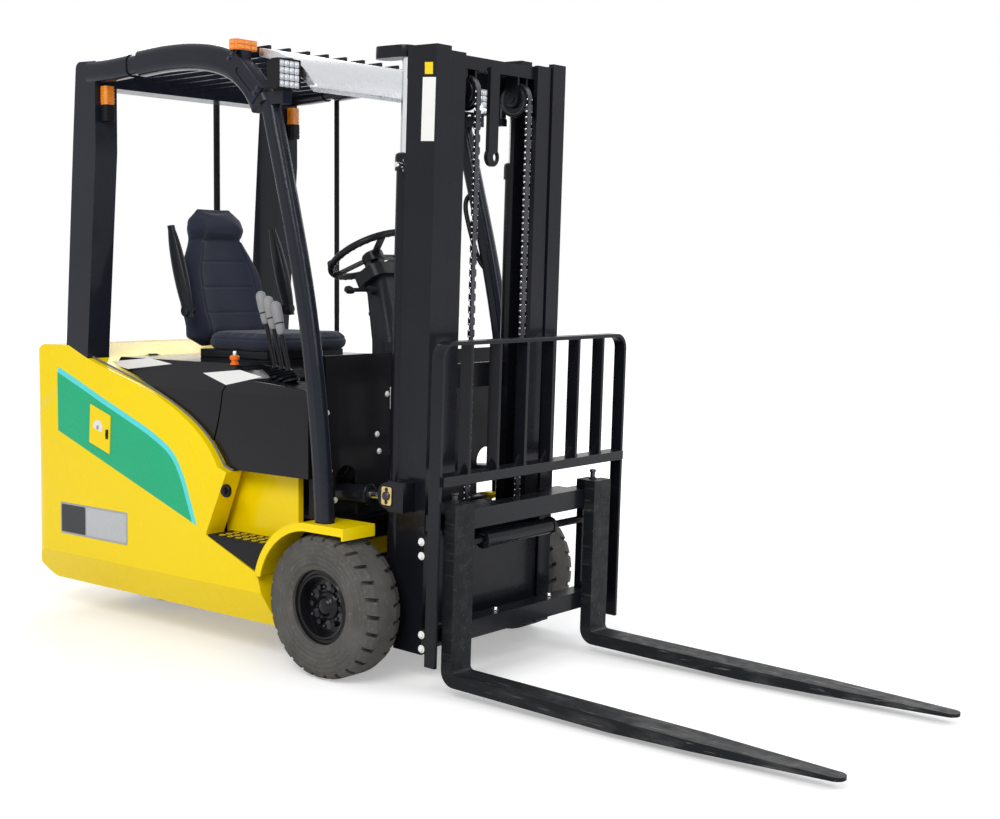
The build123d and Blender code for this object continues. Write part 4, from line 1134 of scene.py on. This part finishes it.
def add_padded(name, node, rows, seam, floor_z=None):
    """A stuffed piece: remeshed, swelled as cloth, then sewn along its seams."""
    scene = bpy.context.scene
    obj = piece(name, stack(rows), cloth, "hood_lid")
    remesh = obj.modifiers.new("remesh", "REMESH")
    remesh.mode = "VOXEL"
    remesh.voxel_size = VOXEL
    bpy.context.view_layer.update()
    obj.data = evaluated_mesh(obj)
    obj.modifiers.clear()
    start = [v.co.copy() for v in obj.data.vertices]
    cloth_mod = obj.modifiers.new("swell", "CLOTH")
    cloth_mod.settings.use_pressure = True
    cloth_mod.settings.uniform_pressure_force = 4.0
    cloth_mod.settings.effector_weights.gravity = 0.0
    cloth_mod.settings.quality = 4
    cloth_mod.collision_settings.use_collision = False
    first = scene.frame_current
    for step in range(1, SWELL_FRAMES + 1):
        scene.frame_set(step)
    swelled = evaluated_mesh(obj)
    scene.frame_set(first)
    obj.modifiers.clear()
    for vertex, before, after in zip(obj.data.vertices, start, swelled.vertices):
        move = after.co - before
        if move.length > SWELL_LIMIT:
            move.length = SWELL_LIMIT
        vertex.co = before + move
    smooth = obj.modifiers.new("even", "SMOOTH")
    smooth.iterations = 3
    subdivide = obj.modifiers.new("finer", "SUBSURF")
    subdivide.levels = 1
    subdivide.render_levels = 1
    bpy.context.view_layer.update()
    fine = evaluated_mesh(obj)
    obj.modifiers.clear()
    normals = [Vector(v.normal) for v in fine.vertices]
    low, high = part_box(node)
    for vertex, normal in zip(fine.vertices, normals):
        depth = seam(truck_mm(vertex.co))
        vertex.co -= normal * (SEAM_DEPTH * depth)
        for axis in range(3):
            inward = max(vertex.co[axis], low[axis] - BOX_SLACK)
            vertex.co[axis] = min(inward, high[axis] + BOX_SLACK)
        if floor_z is not None:
            vertex.co.z = max(vertex.co.z, floor_z / 1000)
    for polygon in fine.polygons:
        polygon.use_smooth = True
    fine.materials.clear()
    fine.materials.append(cloth)
    obj.data = fine
    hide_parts(node)


def paint_nodes():
    for mat, names in FINISHES.items():
        for name in names.split():
            data = nodes[name].data
            data.materials.clear()
            data.materials.append(mat)
    for name, width in ROUNDED.items():
        weld = nodes[name].modifiers.new("weld", "WELD")
        weld.merge_threshold = 0.00002
        add_rounding(nodes[name], width)


# Stage. Lights: name, place, what they look at, size, watts and colour
WORLD_LIGHT = 0.54
FLOOR_HALF = 30.0
FLOOR_GLOW = (0.36, 0.80)
GLOW_REACH = (1.6, 4.0)
LIGHTS = (
    ("key", (2.0, -5.5, 5.0), (0.0, 0.0, 0.9), (4.0, 3.0), 290.0, (1.0, 0.98, 0.95)),
    ("fill", (5.5, 0.5, 3.5), (0.0, 0.0, 0.8), (3.0, 3.0), 95.0),
    ("back", (-5.0, 3.0, 4.5), (0.0, 0.0, 1.0), (3.0, 3.0), 110.0),
    ("left", (0.5, 5.5, 4.0), (0.0, 0.0, 0.8), (3.0, 3.0), 85.0),
)


def soft_light(name, where, target, size, power, color=(1.0, 1.0, 1.0)):
    data = bpy.data.lights.new(name, "AREA")
    data.shape = "RECTANGLE"
    data.size, data.size_y = size
    data.energy = power
    data.color = color
    obj = bpy.data.objects.new(name, data)
    bpy.context.scene.collection.objects.link(obj)
    obj.location = where
    obj.rotation_euler = (Vector(target) - Vector(where)).to_track_quat("-Z", "Y").to_euler()


def seen_rays(tree):
    """1 for rays that come from the camera, off glossy surfaces or through glass."""
    path = tree.nodes.new("ShaderNodeLightPath")
    value = path.outputs["Is Camera Ray"]
    for word in ("Is Glossy Ray", "Is Transmission Ray"):
        node = tree.nodes.new("ShaderNodeMath")
        node.operation = "MAXIMUM"
        tree.links.new(value, node.inputs[0])
        tree.links.new(path.outputs[word], node.inputs[1])
        value = node.outputs[0]
    return value


def add_stage():
    """Pale floor that fades to a white surrounding, soft light from above and both sides."""
    scene = bpy.context.scene
    world = bpy.data.worlds.new("world")
    world.use_nodes = True
    scene.world = world
    tree = world.node_tree
    background = tree.nodes["Background"]
    background.inputs["Color"].default_value = (0.93, 0.95, 1.0, 1.0)
    background.inputs["Strength"].default_value = WORLD_LIGHT
    white = tree.nodes.new("ShaderNodeBackground")
    white.inputs["Color"].default_value = (1.0, 1.0, 1.0, 1.0)
    white.inputs["Strength"].default_value = 1.0
    mix = tree.nodes.new("ShaderNodeMixShader")
    tree.links.new(seen_rays(tree), mix.inputs["Fac"])
    tree.links.new(background.outputs["Background"], mix.inputs[1])
    tree.links.new(white.outputs["Background"], mix.inputs[2])
    tree.links.new(mix.outputs["Shader"], tree.nodes["World Output"].inputs["Surface"])

    mesh = bpy.data.meshes.new("floor")
    half = FLOOR_HALF
    corners = [(-half, -half, 0), (half, -half, 0), (half, half, 0), (-half, half, 0)]
    mesh.from_pydata(corners, [], [(0, 1, 2, 3)])
    floor = bpy.data.objects.new("floor", mesh)
    scene.collection.objects.link(floor)
    finish = Finish("floor", (0.80, 0.80, 0.80), 0.9)
    finish.set(Specular_IOR_Level=0.0)
    finish.mottle(3.0, 0.3, 0.7, 0.3, (0.78, 0.78, 0.78))
    tree = finish.tree
    squares = [finish.math("POWER", finish.along(axis), 2.0) for axis in ("X", "Y")]
    away = finish.math("POWER", finish.math("ADD", *squares), 0.5)
    glow = finish.ramp(away, *GLOW_REACH, *FLOOR_GLOW)
    emission = tree.nodes.new("ShaderNodeEmission")
    tree.links.new(finish.math("MULTIPLY", glow, seen_rays(tree)), emission.inputs["Strength"])
    both = tree.nodes.new("ShaderNodeAddShader")
    tree.links.new(finish.shader.outputs["BSDF"], both.inputs[0])
    tree.links.new(emission.outputs["Emission"], both.inputs[1])
    tree.links.new(both.outputs["Shader"], tree.nodes["Material Output"].inputs["Surface"])
    mesh.materials.append(finish.mat)
    for light in LIGHTS:
        soft_light(*light)


add_camera()
add_stage()
paint_nodes()
add_panels()
add_hood_trim()
add_step_rings()
add_lamps()
add_cab()
add_wheel_trim()
add_mast_trim()
add_guard_trim()
add_armrests()
add_padded("seat_cushion_cloth", "seat_cushion", cushion_rows(), cushion_seam, 991.5)
add_padded("seat_back_cloth", "seat_back", back_rows(), back_seam)
